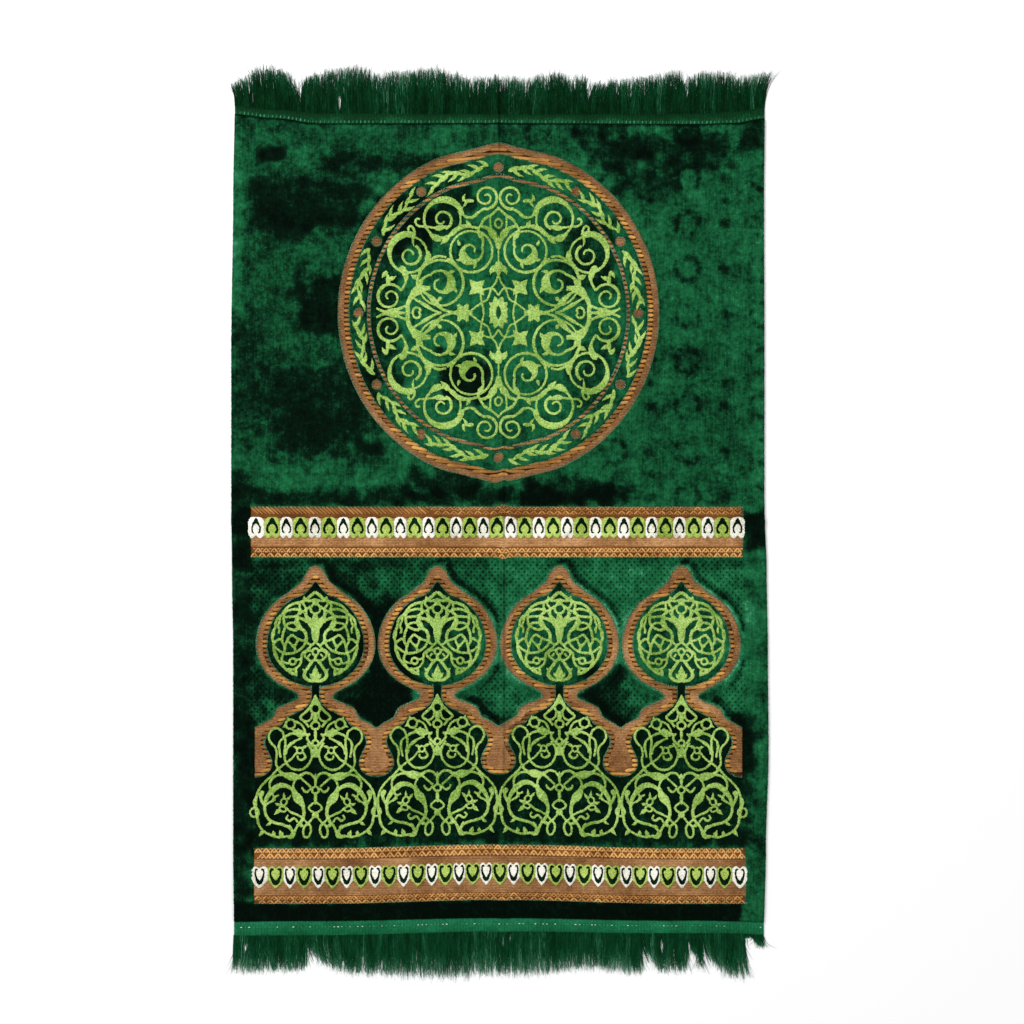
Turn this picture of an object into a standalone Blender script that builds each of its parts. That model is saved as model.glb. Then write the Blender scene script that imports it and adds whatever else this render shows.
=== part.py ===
"""Prayer rug, laid out flat.

One woven rug with a short pile. Its bands, rings and arches are woven without pile, so they
lie lower than the pile around them. It was stored folded in four, and the two folds still
stand up a little. A fringed tape runs along each short end.

X runs across the rug, Y along it towards the round medallion, and Z is up from the floor.
The tables and sizes below are in millimetres from the middle of the rug.
"""

import math
import random
from collections import namedtuple

import bmesh
import bpy
from mathutils import Matrix, Vector

MM = 0.001

# Thickness of the cloth.
PILE_TOP = 4.5
FLAT_WEAVE_TOP = 2.5
TAPE_TOP = 2.0
SEAM_GAP = 0.34
WELD = 0.01
FLAT_ANGLE = math.radians(0.1)

# The long edges of the rug, which wander a little.
Side = namedtuple("Side", "along left right")
SIDES = [
    Side(along=-545, left=-347.0, right=349.5),
    Side(along=-430, left=-348.0, right=352.0),
    Side(along=-300, left=-348.0, right=355.5),
    Side(along=-168, left=-348.0, right=354.5),
    Side(along=-70, left=-349.5, right=353.0),
    Side(along=30, left=-350.5, right=350.0),
    Side(along=226, left=-350.5, right=350.0),
    Side(along=420, left=-348.0, right=349.5),
    Side(along=548, left=-346.0, right=350.5),
]

# The short ends: the outer edge of each tape, and the seam where it meets the rug.
End = namedtuple("End", "across top_edge top_seam bottom_seam bottom_edge")
ENDS = [
    End(across=-347, top_edge=549.0, top_seam=535.8, bottom_seam=-525.3, bottom_edge=-545.0),
    End(across=-293, top_edge=543.0, top_seam=530.6, bottom_seam=-524.4, bottom_edge=-545.0),
    End(across=-234, top_edge=538.5, top_seam=523.6, bottom_seam=-524.2, bottom_edge=-544.6),
    End(across=0, top_edge=537.0, top_seam=524.0, bottom_seam=-525.3, bottom_edge=-544.6),
    End(across=265, top_edge=537.8, top_seam=522.8, bottom_seam=-523.6, bottom_edge=-541.8),
    End(across=311, top_edge=541.0, top_seam=524.2, bottom_seam=-524.6, bottom_edge=-542.0),
    End(across=350, top_edge=546.0, top_seam=530.0, bottom_seam=-526.0, bottom_edge=-543.7),
]

# How far the strands of each fringe reach.
Reach = namedtuple("Reach", "across top bottom")
REACHES = [
    Reach(across=-345, top=577, bottom=-590),
    Reach(across=-318, top=591, bottom=-592),
    Reach(across=-262, top=583, bottom=-591),
    Reach(across=-235, top=588, bottom=-576),
    Reach(across=-188, top=595, bottom=-589),
    Reach(across=-83, top=595, bottom=-594),
    Reach(across=22, top=580, bottom=-591),
    Reach(across=75, top=586, bottom=-588),
    Reach(across=125, top=573, bottom=-584),
    Reach(across=232, top=587, bottom=-590),
    Reach(across=259, top=588, bottom=-570),
    Reach(across=285, top=590, bottom=-581),
    Reach(across=322, top=587, bottom=-596),
    Reach(across=334, top=586, bottom=-548),
    Reach(across=350, top=588, bottom=-547),
]

# Where a fringe opens, and how far it is combed aside there.
Parting = namedtuple("Parting", "across open reach")
TOP_PARTINGS = [
    Parting(across=-354, open=-9, reach=18),
    Parting(across=-260, open=5, reach=22),
    Parting(across=-210, open=2, reach=14),
    Parting(across=24, open=3, reach=20),
    Parting(across=117, open=5, reach=22),
    Parting(across=296, open=4, reach=18),
    Parting(across=354, open=-14, reach=22),
]
BOTTOM_PARTINGS = [
    Parting(across=-333, open=3, reach=14),
    Parting(across=-232, open=6, reach=24),
    Parting(across=200, open=3, reach=18),
    Parting(across=262, open=5, reach=20),
    Parting(across=328, open=3, reach=14),
]
STRANDS = 108
STRAND_ROOT_WIDTH = 4.2
SHORTEST_STRAND = 3.0
STRAND_JITTER = 0.35
REACH_JITTER = 2.5

# A strand's rings, from its root to its tip.
StrandRing = namedtuple("StrandRing", "part width top")
STRAND_RINGS = [
    StrandRing(part=0.30, width=3.6, top=1.9),
    StrandRing(part=0.70, width=3.0, top=1.6),
    StrandRing(part=1.00, width=1.8, top=0.9),
]

# The two fold marks that cross the rug. The cloth is pulled a little out of line at the first,
# and the lower part of the rug bows up towards it.
LONG_FOLD_AT = 9.0
LONG_FOLD_LIFT = 2.4
LONG_FOLD_REACH = 15.0
CROSS_FOLD_AT = 1.3
CROSS_FOLD_LIFT = 1.6
CROSS_FOLD_REACH = 12.0
FOLD_PULL = 4.0
FOLD_PULL_WIDTH = 6.0
FOLD_PULL_MIDDLE = -25.0
FOLD_PULL_LENGTH = 150.0
BOW_RISE = 5.0
BOW_REACH = 235.0
BOW_FROM = -60.0
BOW_FULL = -430.0
LONG_FOLD_CUTS = (-1.0, -0.6, -0.3, 0.0, 0.3, 0.6, 1.0)
CROSS_FOLD_CUTS = (-1.0, 0.0, 1.0)

# The medallion: a flat woven ring, a fine ring inside it, and twelve flat dots between them.
MEDALLION_ACROSS = 0.7
MEDALLION_ALONG = 274.7
RING_OUTER = (211.5, 220.5)
RING_INNER = (195.7, 204.7)
FINE_RING_OUTER = (172.8, 179.6)
FINE_RING_INNER = (168.2, 175.0)
TIP_RISE = 3.0
TIP_HALF_ANGLE = math.radians(8)
TIP_HOLLOW = 1.8
HOLLOW_MIDDLE = math.radians(13)
HOLLOW_HALF_ANGLE = math.radians(11)
RING_STEPS = 72
DOT_TURNS = (0.0, 29.5, 56.5, 90.0, 123.5, 150.5, 180.0, 209.5, 236.5, 270.0, 303.5, 330.5)
DOT_PATH = (184.0, 191.0)
DOT_RADIUS = 6.6
DOT_STEPS = 8

# The two bands of petals. The petals are pile and stand on the flat weave.
Band = namedtuple("Band", "left right top bottom petals_left petals_right petal_top petal_bottom")
UPPER_BAND = Band(left=-325.0, right=322.4, top=20.6, bottom=-46.6,
                  petals_left=-329.6, petals_right=325.0, petal_top=6.6, petal_bottom=-22.3)
LOWER_BAND = Band(left=-321.0, right=326.0, top=-428.1, bottom=-501.7,
                  petals_left=-325.0, petals_right=328.0, petal_top=-451.8, petal_bottom=-482.0)
PETALS = 35
UNEVEN_PETAL = 0.4

# One edge of a petal, as parts of its width and of its depth.
Scallop = namedtuple("Scallop", "across depth")
ROUND_EDGE = [Scallop(0.0, 0.34), Scallop(0.14, 0.10), Scallop(0.5, 0.0), Scallop(0.86, 0.10)]
POINTED_EDGE = [Scallop(0.0, 0.42), Scallop(0.5, 0.0)]
NOTCHED_EDGE = [Scallop(0.0, 0.16), Scallop(0.22, 0.0), Scallop(0.5, 0.10), Scallop(0.78, 0.0)]

# The row of onion arches. An arch is drawn from its middle out, above the foot of its columns.
ARCHES = 4
ARCH_PITCH = 160.2
ARCHES_MIDDLE = 0.6
ARCH_FOOT = -336.9
ONION_MIDDLE = 175.3
ONION_OUTER = (78.8, 78.0, 65.0)
ONION_INNER = (63.0, 68.0, 54.5)
ONION_STEPS = 7

# Half of an arch's outer edge: its tip, then the onion's arc, then the neck and the shoulder.
Point = namedtuple("Point", "across up")
OUTER_TIP = [Point(0, 280), Point(7, 277.6), Point(13, 270), Point(18.4, 259.4), Point(27, 252.5)]
OUTER_ARC_FROM = math.radians(62)
OUTER_ARC_TO = math.radians(-62)
OUTER_SHOULDER = [
    Point(25, 111), Point(23.6, 106), Point(29, 102.6), Point(49.5, 93.5), Point(55, 86),
    Point(58.5, 79.6), Point(72, 72), Point(80.1, 67),
]

# Half of its inner edge, from the top of the onion down to the column's foot.
INNER_TIP = [Point(0, 258), Point(6, 250.5)]
INNER_ARC_FROM = math.radians(76)
INNER_ARC_TO = math.radians(-82)
INNER_DOME = [
    Point(5.2, 121.2), Point(5.2, 103), Point(9, 96.6), Point(16, 90.6), Point(37, 79.4),
    Point(45, 70), Point(61, 58.6), Point(65.5, 51), Point(65.5, 43), Point(58, 27),
    Point(57, 17), Point(61, 8.5), Point(70, 2.5), Point(80.1, 0.7),
]

# Spacing of the points along the rug's edges.
END_STEP = 10.0
SIDE_STEP = 60.0


def read_table(rows, at, column):
    """Read a column between the rows of a table, eased so that its rows leave no corner."""
    if at <= rows[0][0]:
        return getattr(rows[0], column)
    for low, high in zip(rows, rows[1:]):
        if at <= high[0]:
            part = (at - low[0]) / (high[0] - low[0])
            eased = part * part * (3 - 2 * part)
            start = getattr(low, column)
            return start + (getattr(high, column) - start) * eased
    return getattr(rows[-1], column)


def soft_bump(distance, reach):
    """A round bump that is 1 in its middle and 0 from its reach outwards."""
    if abs(distance) >= reach:
        return 0.0
    return 0.5 + 0.5 * math.cos(math.pi * distance / reach)


def lay(point):
    """Move a point of the flat cloth to where it lies on the floor, over the fold marks."""
    long_fold = LONG_FOLD_LIFT * soft_bump(point.x - LONG_FOLD_AT, LONG_FOLD_REACH)
    cross_fold = CROSS_FOLD_LIFT * soft_bump(point.y - CROSS_FOLD_AT, CROSS_FOLD_REACH)
    from_middle = (point.y - FOLD_PULL_MIDDLE) / FOLD_PULL_LENGTH
    pull = FOLD_PULL * math.exp(-((point.x - LONG_FOLD_AT) / FOLD_PULL_WIDTH) ** 2)
    pull *= math.tanh(4 * from_middle) * math.exp(-from_middle ** 2)
    part = min(max((point.y - BOW_FROM) / (BOW_FULL - BOW_FROM), 0.0), 1.0)
    bow = BOW_RISE * soft_bump(point.x, BOW_REACH) * part * part * (3 - 2 * part)
    return Vector((point.x, point.y + pull + bow, point.z + max(long_fold, cross_fold)))


def steps_between(start, end, spacing):
    """Evenly spaced places from start to end, no further apart than the spacing."""
    count = math.ceil(abs(end - start) / spacing)
    return [start + (end - start) * step / count for step in range(count + 1)]


def rug_outline():
    """The rug's edge between the two tapes, clockwise from its top left corner."""
    top_left = SIDES[-1].left
    top_right = SIDES[-1].right
    bottom_left = SIDES[0].left
    bottom_right = SIDES[0].right
    outline = []
    for across in steps_between(top_left, top_right, END_STEP):
        outline.append((across, read_table(ENDS, across, "top_seam") - SEAM_GAP / 2))
    corner_high = outline[-1][1]
    corner_low = read_table(ENDS, bottom_right, "bottom_seam") + SEAM_GAP / 2
    for along in steps_between(corner_high, corner_low, SIDE_STEP)[1:-1]:
        outline.append((read_table(SIDES, along, "right"), along))
    for across in steps_between(bottom_right, bottom_left, END_STEP):
        outline.append((across, read_table(ENDS, across, "bottom_seam") + SEAM_GAP / 2))
    corner_low = outline[-1][1]
    corner_high = outline[0][1]
    for along in steps_between(corner_low, corner_high, SIDE_STEP)[1:-1]:
        outline.append((read_table(SIDES, along, "left"), along))
    return outline


def medallion_ring(radii, steps=RING_STEPS):
    """A closed oval round the medallion, with a small pointed tip at its top and bottom."""
    outline = []
    for step in range(steps):
        angle = 2 * math.pi * step / steps
        from_tip = abs(angle % math.pi - math.pi / 2)
        tip = TIP_RISE * soft_bump(from_tip, TIP_HALF_ANGLE)
        hollow = TIP_HOLLOW * soft_bump(from_tip - HOLLOW_MIDDLE, HOLLOW_HALF_ANGLE)
        stretch = 1 + (tip - hollow) / radii[1]
        outline.append((MEDALLION_ACROSS + radii[0] * stretch * math.cos(angle),
                        MEDALLION_ALONG + radii[1] * stretch * math.sin(angle)))
    return outline


def medallion_dots():
    """The outlines of the round dots between the medallion's two rings."""
    outlines = []
    for turn in DOT_TURNS:
        place = math.radians(turn)
        across = MEDALLION_ACROSS + DOT_PATH[0] * math.cos(place)
        along = MEDALLION_ALONG + DOT_PATH[1] * math.sin(place)
        rim = [2 * math.pi * (step + 0.5) / DOT_STEPS for step in range(DOT_STEPS)]
        outlines.append([(across + DOT_RADIUS * math.cos(angle),
                          along + DOT_RADIUS * math.sin(angle)) for angle in rim])
    return outlines


def petal_edge(band, edge, scallop):
    """One long edge of a band's row of petals, from its left end to its right end."""
    width = (band.petals_right - band.petals_left) / PETALS
    depth = band.petal_top - band.petal_bottom
    inwards = -depth if edge == band.petal_top else depth
    points = []
    for petal in range(PETALS):
        uneven = UNEVEN_PETAL * math.sin(petal)
        for point in scallop:
            points.append((band.petals_left + (petal + point.across) * width,
                           edge + point.depth * inwards + uneven))
    points.append((band.petals_right, edge + scallop[0].depth * inwards))
    return points


def band_strip(band, outer_edge, petals):
    """The flat weave between one long edge of a band and its row of petals."""
    inside = [point for point in petals if band.left < point[0] < band.right]
    ends = [(band.left, inside[0][1])] + inside + [(band.right, inside[-1][1])]
    return ends + [(band.right, outer_edge), (band.left, outer_edge)]


def band_strips():
    """The flat woven strips above and below the petals of both bands."""
    strips = []
    for band, above, below in ((UPPER_BAND, ROUND_EDGE, NOTCHED_EDGE),
                               (LOWER_BAND, ROUND_EDGE, POINTED_EDGE)):
        strips.append(band_strip(band, band.top, petal_edge(band, band.petal_top, above)))
        strips.append(band_strip(band, band.bottom, petal_edge(band, band.petal_bottom, below)))
    return strips


def onion_arc(radii, start, end):
    """Half of an onion's round side: half width, then its height above and below the middle."""
    points = []
    for step in range(ONION_STEPS + 1):
        angle = start + (end - start) * step / ONION_STEPS
        height = radii[1] if angle > 0 else radii[2]
        points.append(Point(radii[0] * math.cos(angle), ONION_MIDDLE + height * math.sin(angle)))
    return points


def arch_edge(half):
    """The whole row's edge, from left to right, with each arch mirrored about its middle."""
    edge = []
    for arch in range(ARCHES):
        middle = ARCHES_MIDDLE + (arch - (ARCHES - 1) / 2) * ARCH_PITCH
        for point in reversed(half[1:]):
            edge.append((middle - point.across, ARCH_FOOT + point.up))
        for point in half[:-1]:
            edge.append((middle + point.across, ARCH_FOOT + point.up))
    edge.append((middle + half[-1].across, ARCH_FOOT + half[-1].up))
    return edge


def arch_row():
    """The flat woven outline of the four arches and the columns between them."""
    outer_arc = onion_arc(ONION_OUTER, OUTER_ARC_FROM, OUTER_ARC_TO)
    inner_arc = onion_arc(ONION_INNER, INNER_ARC_FROM, INNER_ARC_TO)
    outer = arch_edge(OUTER_TIP + outer_arc + OUTER_SHOULDER)
    inner = arch_edge(INNER_TIP + inner_arc + INNER_DOME)
    return outer + inner[::-1]


def solid_from_outlines(name, outlines, low, high, collection):
    """A flat solid between two heights. An outline inside another one is a hole in it."""
    curve = bpy.data.curves.new(name, "CURVE")
    curve.dimensions = "2D"
    curve.fill_mode = "BOTH"
    curve.extrude = (high - low) / 2 * MM
    for outline in outlines:
        spline = curve.splines.new("POLY")
        spline.points.add(len(outline) - 1)
        for point, (across, along) in zip(spline.points, outline):
            point.co = (across * MM, along * MM, 0, 1)
        spline.use_cyclic_u = True
    drawn = bpy.data.objects.new(name, curve)
    mesh = bpy.data.meshes.new_from_object(drawn)
    mesh.transform(Matrix.Translation((0, 0, (high + low) / 2 * MM)))
    bpy.data.objects.remove(drawn)
    form = bmesh.new()
    form.from_mesh(mesh)
    bmesh.ops.remove_doubles(form, verts=form.verts, dist=WELD * MM)
    bmesh.ops.recalc_face_normals(form, faces=form.faces)
    form.to_mesh(mesh)
    form.free()
    solid = bpy.data.objects.new(name, mesh)
    collection.objects.link(solid)
    return solid


def cut_across(form, places, axis):
    """Cut the mesh through at each place along an axis, so that it can bend there."""
    for place in places:
        everything = form.verts[:] + form.edges[:] + form.faces[:]
        bmesh.ops.bisect_plane(form, geom=everything, plane_co=axis * place * MM, plane_no=axis)


def fabric(name, colour, roughness):
    """A plain cloth material."""
    material = bpy.data.materials.new(name)
    material.use_nodes = True
    surface = material.node_tree.nodes["Principled BSDF"]
    surface.inputs["Base Color"].default_value = colour
    surface.inputs["Roughness"].default_value = roughness
    surface.inputs["Metallic"].default_value = 0.0
    return material


def make_rug(parts, cutters, material):
    """The rug itself: one slab of pile with its flat weave let in, laid over the folds."""
    rug = solid_from_outlines("rug_body", [rug_outline()], 0, PILE_TOP, parts)
    above = PILE_TOP + 1
    flat_weave = {
        "band_strips": band_strips(),
        "medallion_ring": [medallion_ring(RING_OUTER), medallion_ring(RING_INNER)],
        "fine_ring": [medallion_ring(FINE_RING_OUTER), medallion_ring(FINE_RING_INNER)],
        "medallion_dots": medallion_dots(),
        "arch_row": [arch_row()],
    }
    for name, outlines in flat_weave.items():
        cutter = solid_from_outlines(name, outlines, FLAT_WEAVE_TOP, above, cutters)
        cutter.hide_render = True
        cutter.display_type = "WIRE"
        recess = rug.modifiers.new(name, "BOOLEAN")
        recess.operation = "DIFFERENCE"
        recess.solver = "EXACT"
        recess.object = cutter
    bpy.context.view_layer.update()
    cut = bpy.data.meshes.new_from_object(rug.evaluated_get(bpy.context.evaluated_depsgraph_get()))
    rug.modifiers.clear()

    form = bmesh.new()
    form.from_mesh(cut)
    bmesh.ops.dissolve_limit(form, angle_limit=FLAT_ANGLE, verts=form.verts, edges=form.edges)
    cut_across(form, [LONG_FOLD_AT + part * LONG_FOLD_REACH for part in LONG_FOLD_CUTS],
               Vector((1, 0, 0)))
    cut_across(form, [CROSS_FOLD_AT + part * CROSS_FOLD_REACH for part in CROSS_FOLD_CUTS],
               Vector((0, 1, 0)))
    bmesh.ops.remove_doubles(form, verts=form.verts, dist=WELD * MM)
    bmesh.ops.triangulate(form, faces=form.faces)
    for vert in form.verts:
        vert.co = lay(vert.co / MM) * MM
    form.to_mesh(cut)
    form.free()
    rug.data = cut
    rug.data.materials.append(material)
    return rug


def comb(across, partings):
    """How far a strand's tip leans sideways away from the partings near it."""
    lean = 0.0
    for parting in partings:
        away = across - parting.across
        lean += parting.open * math.copysign(1.0, away) * math.exp(-abs(away) / parting.reach)
    return lean


def make_fringe(parts, name, end, outwards, partings, seed, material):
    """A tape along one end of the rug, with its strands drawn out of its outer edge."""
    stretches = 2 * STRANDS - 1
    tape_left, tape_right = end_limits(end)
    pitch = (tape_right - tape_left - STRAND_ROOT_WIDTH) / (STRANDS - 1)
    form = bmesh.new()
    bmesh.ops.create_cube(form, size=1.0)
    lengthwise = [edge for edge in form.edges
                  if abs(edge.verts[0].co.x - edge.verts[1].co.x) > 0.5]
    bmesh.ops.subdivide_edges(form, edges=lengthwise, cuts=stretches - 1, use_grid_fill=True)
    outer_faces = [face for face in form.faces if face.normal.y * outwards > 0.5]
    outer_faces.sort(key=lambda face: face.calc_center_median().x)
    for vert in form.verts:
        station = round((vert.co.x + 0.5) * stretches)
        side = STRAND_ROOT_WIDTH if station % 2 else 0.0
        across = tape_left + (station // 2) * pitch + side
        outer = vert.co.y * outwards > 0
        along = read_table(ENDS, across, end + ("_edge" if outer else "_seam"))
        if not outer:
            along += outwards * SEAM_GAP / 2
        height = TAPE_TOP if vert.co.z > 0 else 0.0
        vert.co = lay(Vector((across, along, height))) * MM

    chance = random.Random(seed)
    strands = []
    for strand in range(STRANDS):
        across = tape_left + STRAND_ROOT_WIDTH / 2 + strand * pitch
        start = lay(Vector((across, read_table(ENDS, across, end + "_edge"), 0))).y
        reach = read_table(REACHES, across, end) + chance.uniform(-REACH_JITTER, REACH_JITTER)
        length = max(abs(reach - start), SHORTEST_STRAND)
        lean = comb(across, partings) + chance.uniform(-STRAND_JITTER, STRAND_JITTER)
        lean *= min(1.0, length / abs(read_table(REACHES, 0, end) - start))
        strands.append((across, start, outwards * length, lean))

    tips = outer_faces[::2]
    for ring in STRAND_RINGS:
        grown = bmesh.ops.extrude_discrete_faces(form, faces=tips)
        tips = sorted(grown["faces"], key=lambda face: face.calc_center_median().x)
        for face, (across, start, length, lean) in zip(tips, strands):
            middle = face.calc_center_median()
            centre = across + lean * ring.part ** 1.5
            along = start + length * ring.part
            for vert in face.verts:
                side = math.copysign(ring.width / 2, vert.co.x - middle.x)
                height = ring.top if vert.co.z > middle.z else 0.0
                vert.co = Vector((centre + side, along, height)) * MM
    bmesh.ops.triangulate(form, faces=form.faces)
    bmesh.ops.recalc_face_normals(form, faces=form.faces)
    mesh = bpy.data.meshes.new(name)
    form.to_mesh(mesh)
    form.free()
    mesh.materials.append(material)
    fringe = bpy.data.objects.new(name, mesh)
    parts.objects.link(fringe)
    return fringe


def end_limits(end):
    """The left and right limits of the tape at one end of the rug."""
    corner = SIDES[-1] if end == "top" else SIDES[0]
    return corner.left, corner.right


def stand_on_origin(objects):
    """Move every piece together, so that the origin is the bottom centre of them all."""
    corners = [vert.co for piece in objects for vert in piece.data.vertices]
    low = Vector([min(corner[axis] for corner in corners) for axis in range(3)])
    high = Vector([max(corner[axis] for corner in corners) for axis in range(3)])
    shift = Vector((-(low.x + high.x) / 2, -(low.y + high.y) / 2, -low.z))
    for piece in objects:
        piece.data.transform(Matrix.Translation(shift))


def main():
    for item in list(bpy.data.objects):
        bpy.data.objects.remove(item)
    parts = bpy.data.collections.new("prayer_rug")
    cutters = bpy.data.collections.new("cutters")
    for collection in (parts, cutters):
        bpy.context.scene.collection.children.link(collection)
    cloth = fabric("rug_cloth", (0.012, 0.085, 0.042, 1.0), 0.95)
    yarn = fabric("fringe_yarn", (0.010, 0.070, 0.035, 1.0), 0.85)
    rug = make_rug(parts, cutters, cloth)
    top = make_fringe(parts, "fringe_top", "top", 1, TOP_PARTINGS, 11, yarn)
    bottom = make_fringe(parts, "fringe_bottom", "bottom", -1, BOTTOM_PARTINGS, 12, yarn)
    stand_on_origin([rug, top, bottom])


main()
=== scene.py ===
"""Looks of the prayer rug.

The rug lies flat under the camera. A woven ground sheet carries a dark green pile, and lime, white
and orange yarn make its pattern: a round medallion, two bands of petals and a row of onion arches.

Everything is worked out in millimetres on the flat rug, from its middle, with X across and Y along
it. lay() then puts each point where the folded cloth carries it, and SHIFT moves it into the frame.
"""

import math
import random
from collections import namedtuple

import bmesh
import bpy
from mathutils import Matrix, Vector, noise
from mathutils.geometry import delaunay_2d_cdt
from mathutils.kdtree import KDTree


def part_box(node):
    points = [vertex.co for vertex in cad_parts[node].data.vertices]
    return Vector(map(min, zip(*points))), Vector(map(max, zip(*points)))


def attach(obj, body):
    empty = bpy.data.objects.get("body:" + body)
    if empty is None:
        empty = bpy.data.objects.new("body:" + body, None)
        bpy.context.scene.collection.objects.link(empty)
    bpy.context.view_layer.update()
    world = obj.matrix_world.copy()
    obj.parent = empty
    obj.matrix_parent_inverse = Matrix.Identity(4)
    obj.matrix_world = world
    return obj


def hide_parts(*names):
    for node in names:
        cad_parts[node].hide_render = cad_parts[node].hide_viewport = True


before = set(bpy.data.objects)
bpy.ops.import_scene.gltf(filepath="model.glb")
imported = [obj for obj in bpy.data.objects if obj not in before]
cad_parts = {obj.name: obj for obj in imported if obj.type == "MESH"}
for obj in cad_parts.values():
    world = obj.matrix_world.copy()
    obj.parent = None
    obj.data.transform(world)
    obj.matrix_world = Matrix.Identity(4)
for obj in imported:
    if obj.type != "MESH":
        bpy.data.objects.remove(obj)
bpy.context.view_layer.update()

MM = 0.001

# Heights of the cloth's layers.
PILE_TOP = 4.3
PILE_FOOT = 1.6
GROUND_TOP = 2.4
MOTIF_RISE = 0.45
EDGE_DROP = 0.55
LUMP_HEIGHT = 0.20
SLOW_LUMPS = (23.0, 31.0)
QUICK_LUMPS = (6.5, 11.0)
QUICK_SHARE = 0.6
TUFT_ROUGHNESS = 0.10

# The long edges of the rug, which wander a little.
Side = namedtuple("Side", "along left right")
SIDES = [
    Side(-545, -347.0, 349.5),
    Side(-430, -348.0, 352.0),
    Side(-300, -348.0, 355.5),
    Side(-168, -348.0, 354.5),
    Side(-70, -349.5, 353.0),
    Side(30, -350.5, 350.0),
    Side(226, -350.5, 350.0),
    Side(420, -348.0, 349.5),
    Side(548, -346.0, 350.5),
]

# The short ends: the outer edge of each tape, and the seam where it meets the rug.
End = namedtuple("End", "across top_edge top_seam bottom_seam bottom_edge")
ENDS = [
    End(-347, 549.0, 535.8, -525.3, -545.0),
    End(-293, 543.0, 530.6, -524.4, -545.0),
    End(-234, 538.5, 523.6, -524.2, -544.6),
    End(0, 537.0, 524.0, -525.3, -544.6),
    End(265, 537.8, 522.8, -523.6, -541.8),
    End(311, 541.0, 524.2, -524.6, -542.0),
    End(350, 546.0, 530.0, -526.0, -543.7),
]

# How far the strands of each fringe reach.
Reach = namedtuple("Reach", "across up")
REACHES = {end: [Reach(*spot) for spot in spots] for end, spots in {
    "top": [(-349, 577), (-330, 586), (-317, 596), (-300, 599), (-284, 596), (-271, 590),
            (-262, 582), (-255, 586), (-225, 595), (-182, 599), (-171, 597), (-165, 589),
            (-150, 590), (-137, 594), (-80, 597), (-60, 591), (-34, 585), (-2, 587), (28, 586),
            (38, 581), (48, 587), (88, 591), (98, 584), (110, 588), (118, 581), (124, 577),
            (134, 578), (150, 583), (176, 584), (235, 592), (249, 583), (268, 591), (300, 592),
            (314, 585), (350, 592)],
    "bottom": [(-347, -593), (-262, -592), (-251, -589), (-248, -572), (-236, -582), (-212, -589),
               (-190, -595), (-60, -600), (-30, -597), (45, -595), (125, -588), (160, -592),
               (188, -594), (191, -574), (197, -578), (210, -592), (249, -593), (252, -569),
               (258, -576), (264, -590), (269, -588), (272, -576), (284, -587), (300, -598),
               (324, -600), (326, -549), (335, -549), (338, -556), (350, -562)],
}.items()}

# Where a fringe parts, how far it is combed aside there, and the slits in it.
Parting = namedtuple("Parting", "across left right reach")
Slit = namedtuple("Slit", "across wide start end")
PARTINGS = {
    "top": [Parting(-354, 0, -20, 16), Parting(-260, 9, 5, 18), Parting(35, 0, 7, 13),
            Parting(97, 2.5, 2.5, 9), Parting(118, 0, 11, 24), Parting(248, 3, 3, 10),
            Parting(296, 1.5, 1.5, 8), Parting(354, -14, 0, 22)],
    "bottom": [Parting(-250, 0, 14, 24), Parting(189, -3, 12, 15), Parting(251, -1, 12, 12),
               Parting(270, 1, 11, 13), Parting(328, -10, 8, 12)],
}
SLITS = {
    "top": [Slit(-208.8, 7.5, 0.03, 0.52), Slit(19, 3.4, 0.1, 0.9), Slit(-160, 2.6, 0.5, 1.0)],
    "bottom": [Slit(-332.6, 7.0, 0.1, 0.62), Slit(6.7, 3.6, 0.0, 0.5), Slit(15.8, 3.0, 0.0, 0.4),
               Slit(216, 5.0, 0.05, 0.7)],
}
SLIT_REACH = 9.0
PARTING_STARTS = 2.2

# The two fold marks that cross the rug. The long one slants a little.
Fold = namedtuple("Fold", "along at")
LONG_FOLD = [Fold(along=20, at=7.4), Fold(along=520, at=1.0)]
LONG_FOLD_AT = 4.2
FOLD_LINES = (-1.0, -0.6, -0.3, 0.0, 0.3, 0.6, 1.0)
FOLD_POINT_STEP = 12.0
LONG_FOLD_HALF = 505.0
CROSS_FOLD_HALF = 340.0
LONG_FOLD_LIFT = 2.4
LONG_FOLD_REACH = 15.0
CROSS_FOLD_AT = 1.3
CROSS_FOLD_LIFT = 1.6
CROSS_FOLD_REACH = 12.0
FOLD_PULL = 4.0
FOLD_PULL_WIDTH = 6.0
FOLD_PULL_MIDDLE = -25.0
FOLD_PULL_LENGTH = 150.0
FOLD_PULL_TURN = 4.0
BOW_RISE = 5.0
BOW_REACH = 235.0
BOW_FROM = -60.0
BOW_FULL = -430.0

# The medallion: a woven ring, a fine ring inside it, and twelve dots between them.
MEDALLION_ACROSS = 0.7
MEDALLION_ALONG = 274.7
RING_OUTER = (211.5, 220.5)
RING_MIDDLE = (203.2, 212.2)
RING_INNER = (195.7, 204.7)
FINE_RING_OUTER = (173.2, 180.0)
FINE_RING_INNER = (167.8, 174.6)
MEDALLION_RIMS = (RING_OUTER, RING_INNER, FINE_RING_OUTER, FINE_RING_INNER)
VINE_PATH = (184.4, 190.6)
TIP_RISE = 3.0
TIP_HALF_ANGLE = math.radians(8)
TIP_HOLLOW = 1.8
HOLLOW_MIDDLE = math.radians(13)
HOLLOW_HALF_ANGLE = math.radians(11)
RING_STEPS = 720
DOT_TURNS = (0.0, 29.5, 56.5, 90.0, 123.5, 150.5, 180.0, 209.5, 236.5, 270.0, 303.5, 330.5)
DOT_PATH = (184.0, 191.0)
DOT_RADIUS = 7.1
DOT_STEPS = 20

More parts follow.
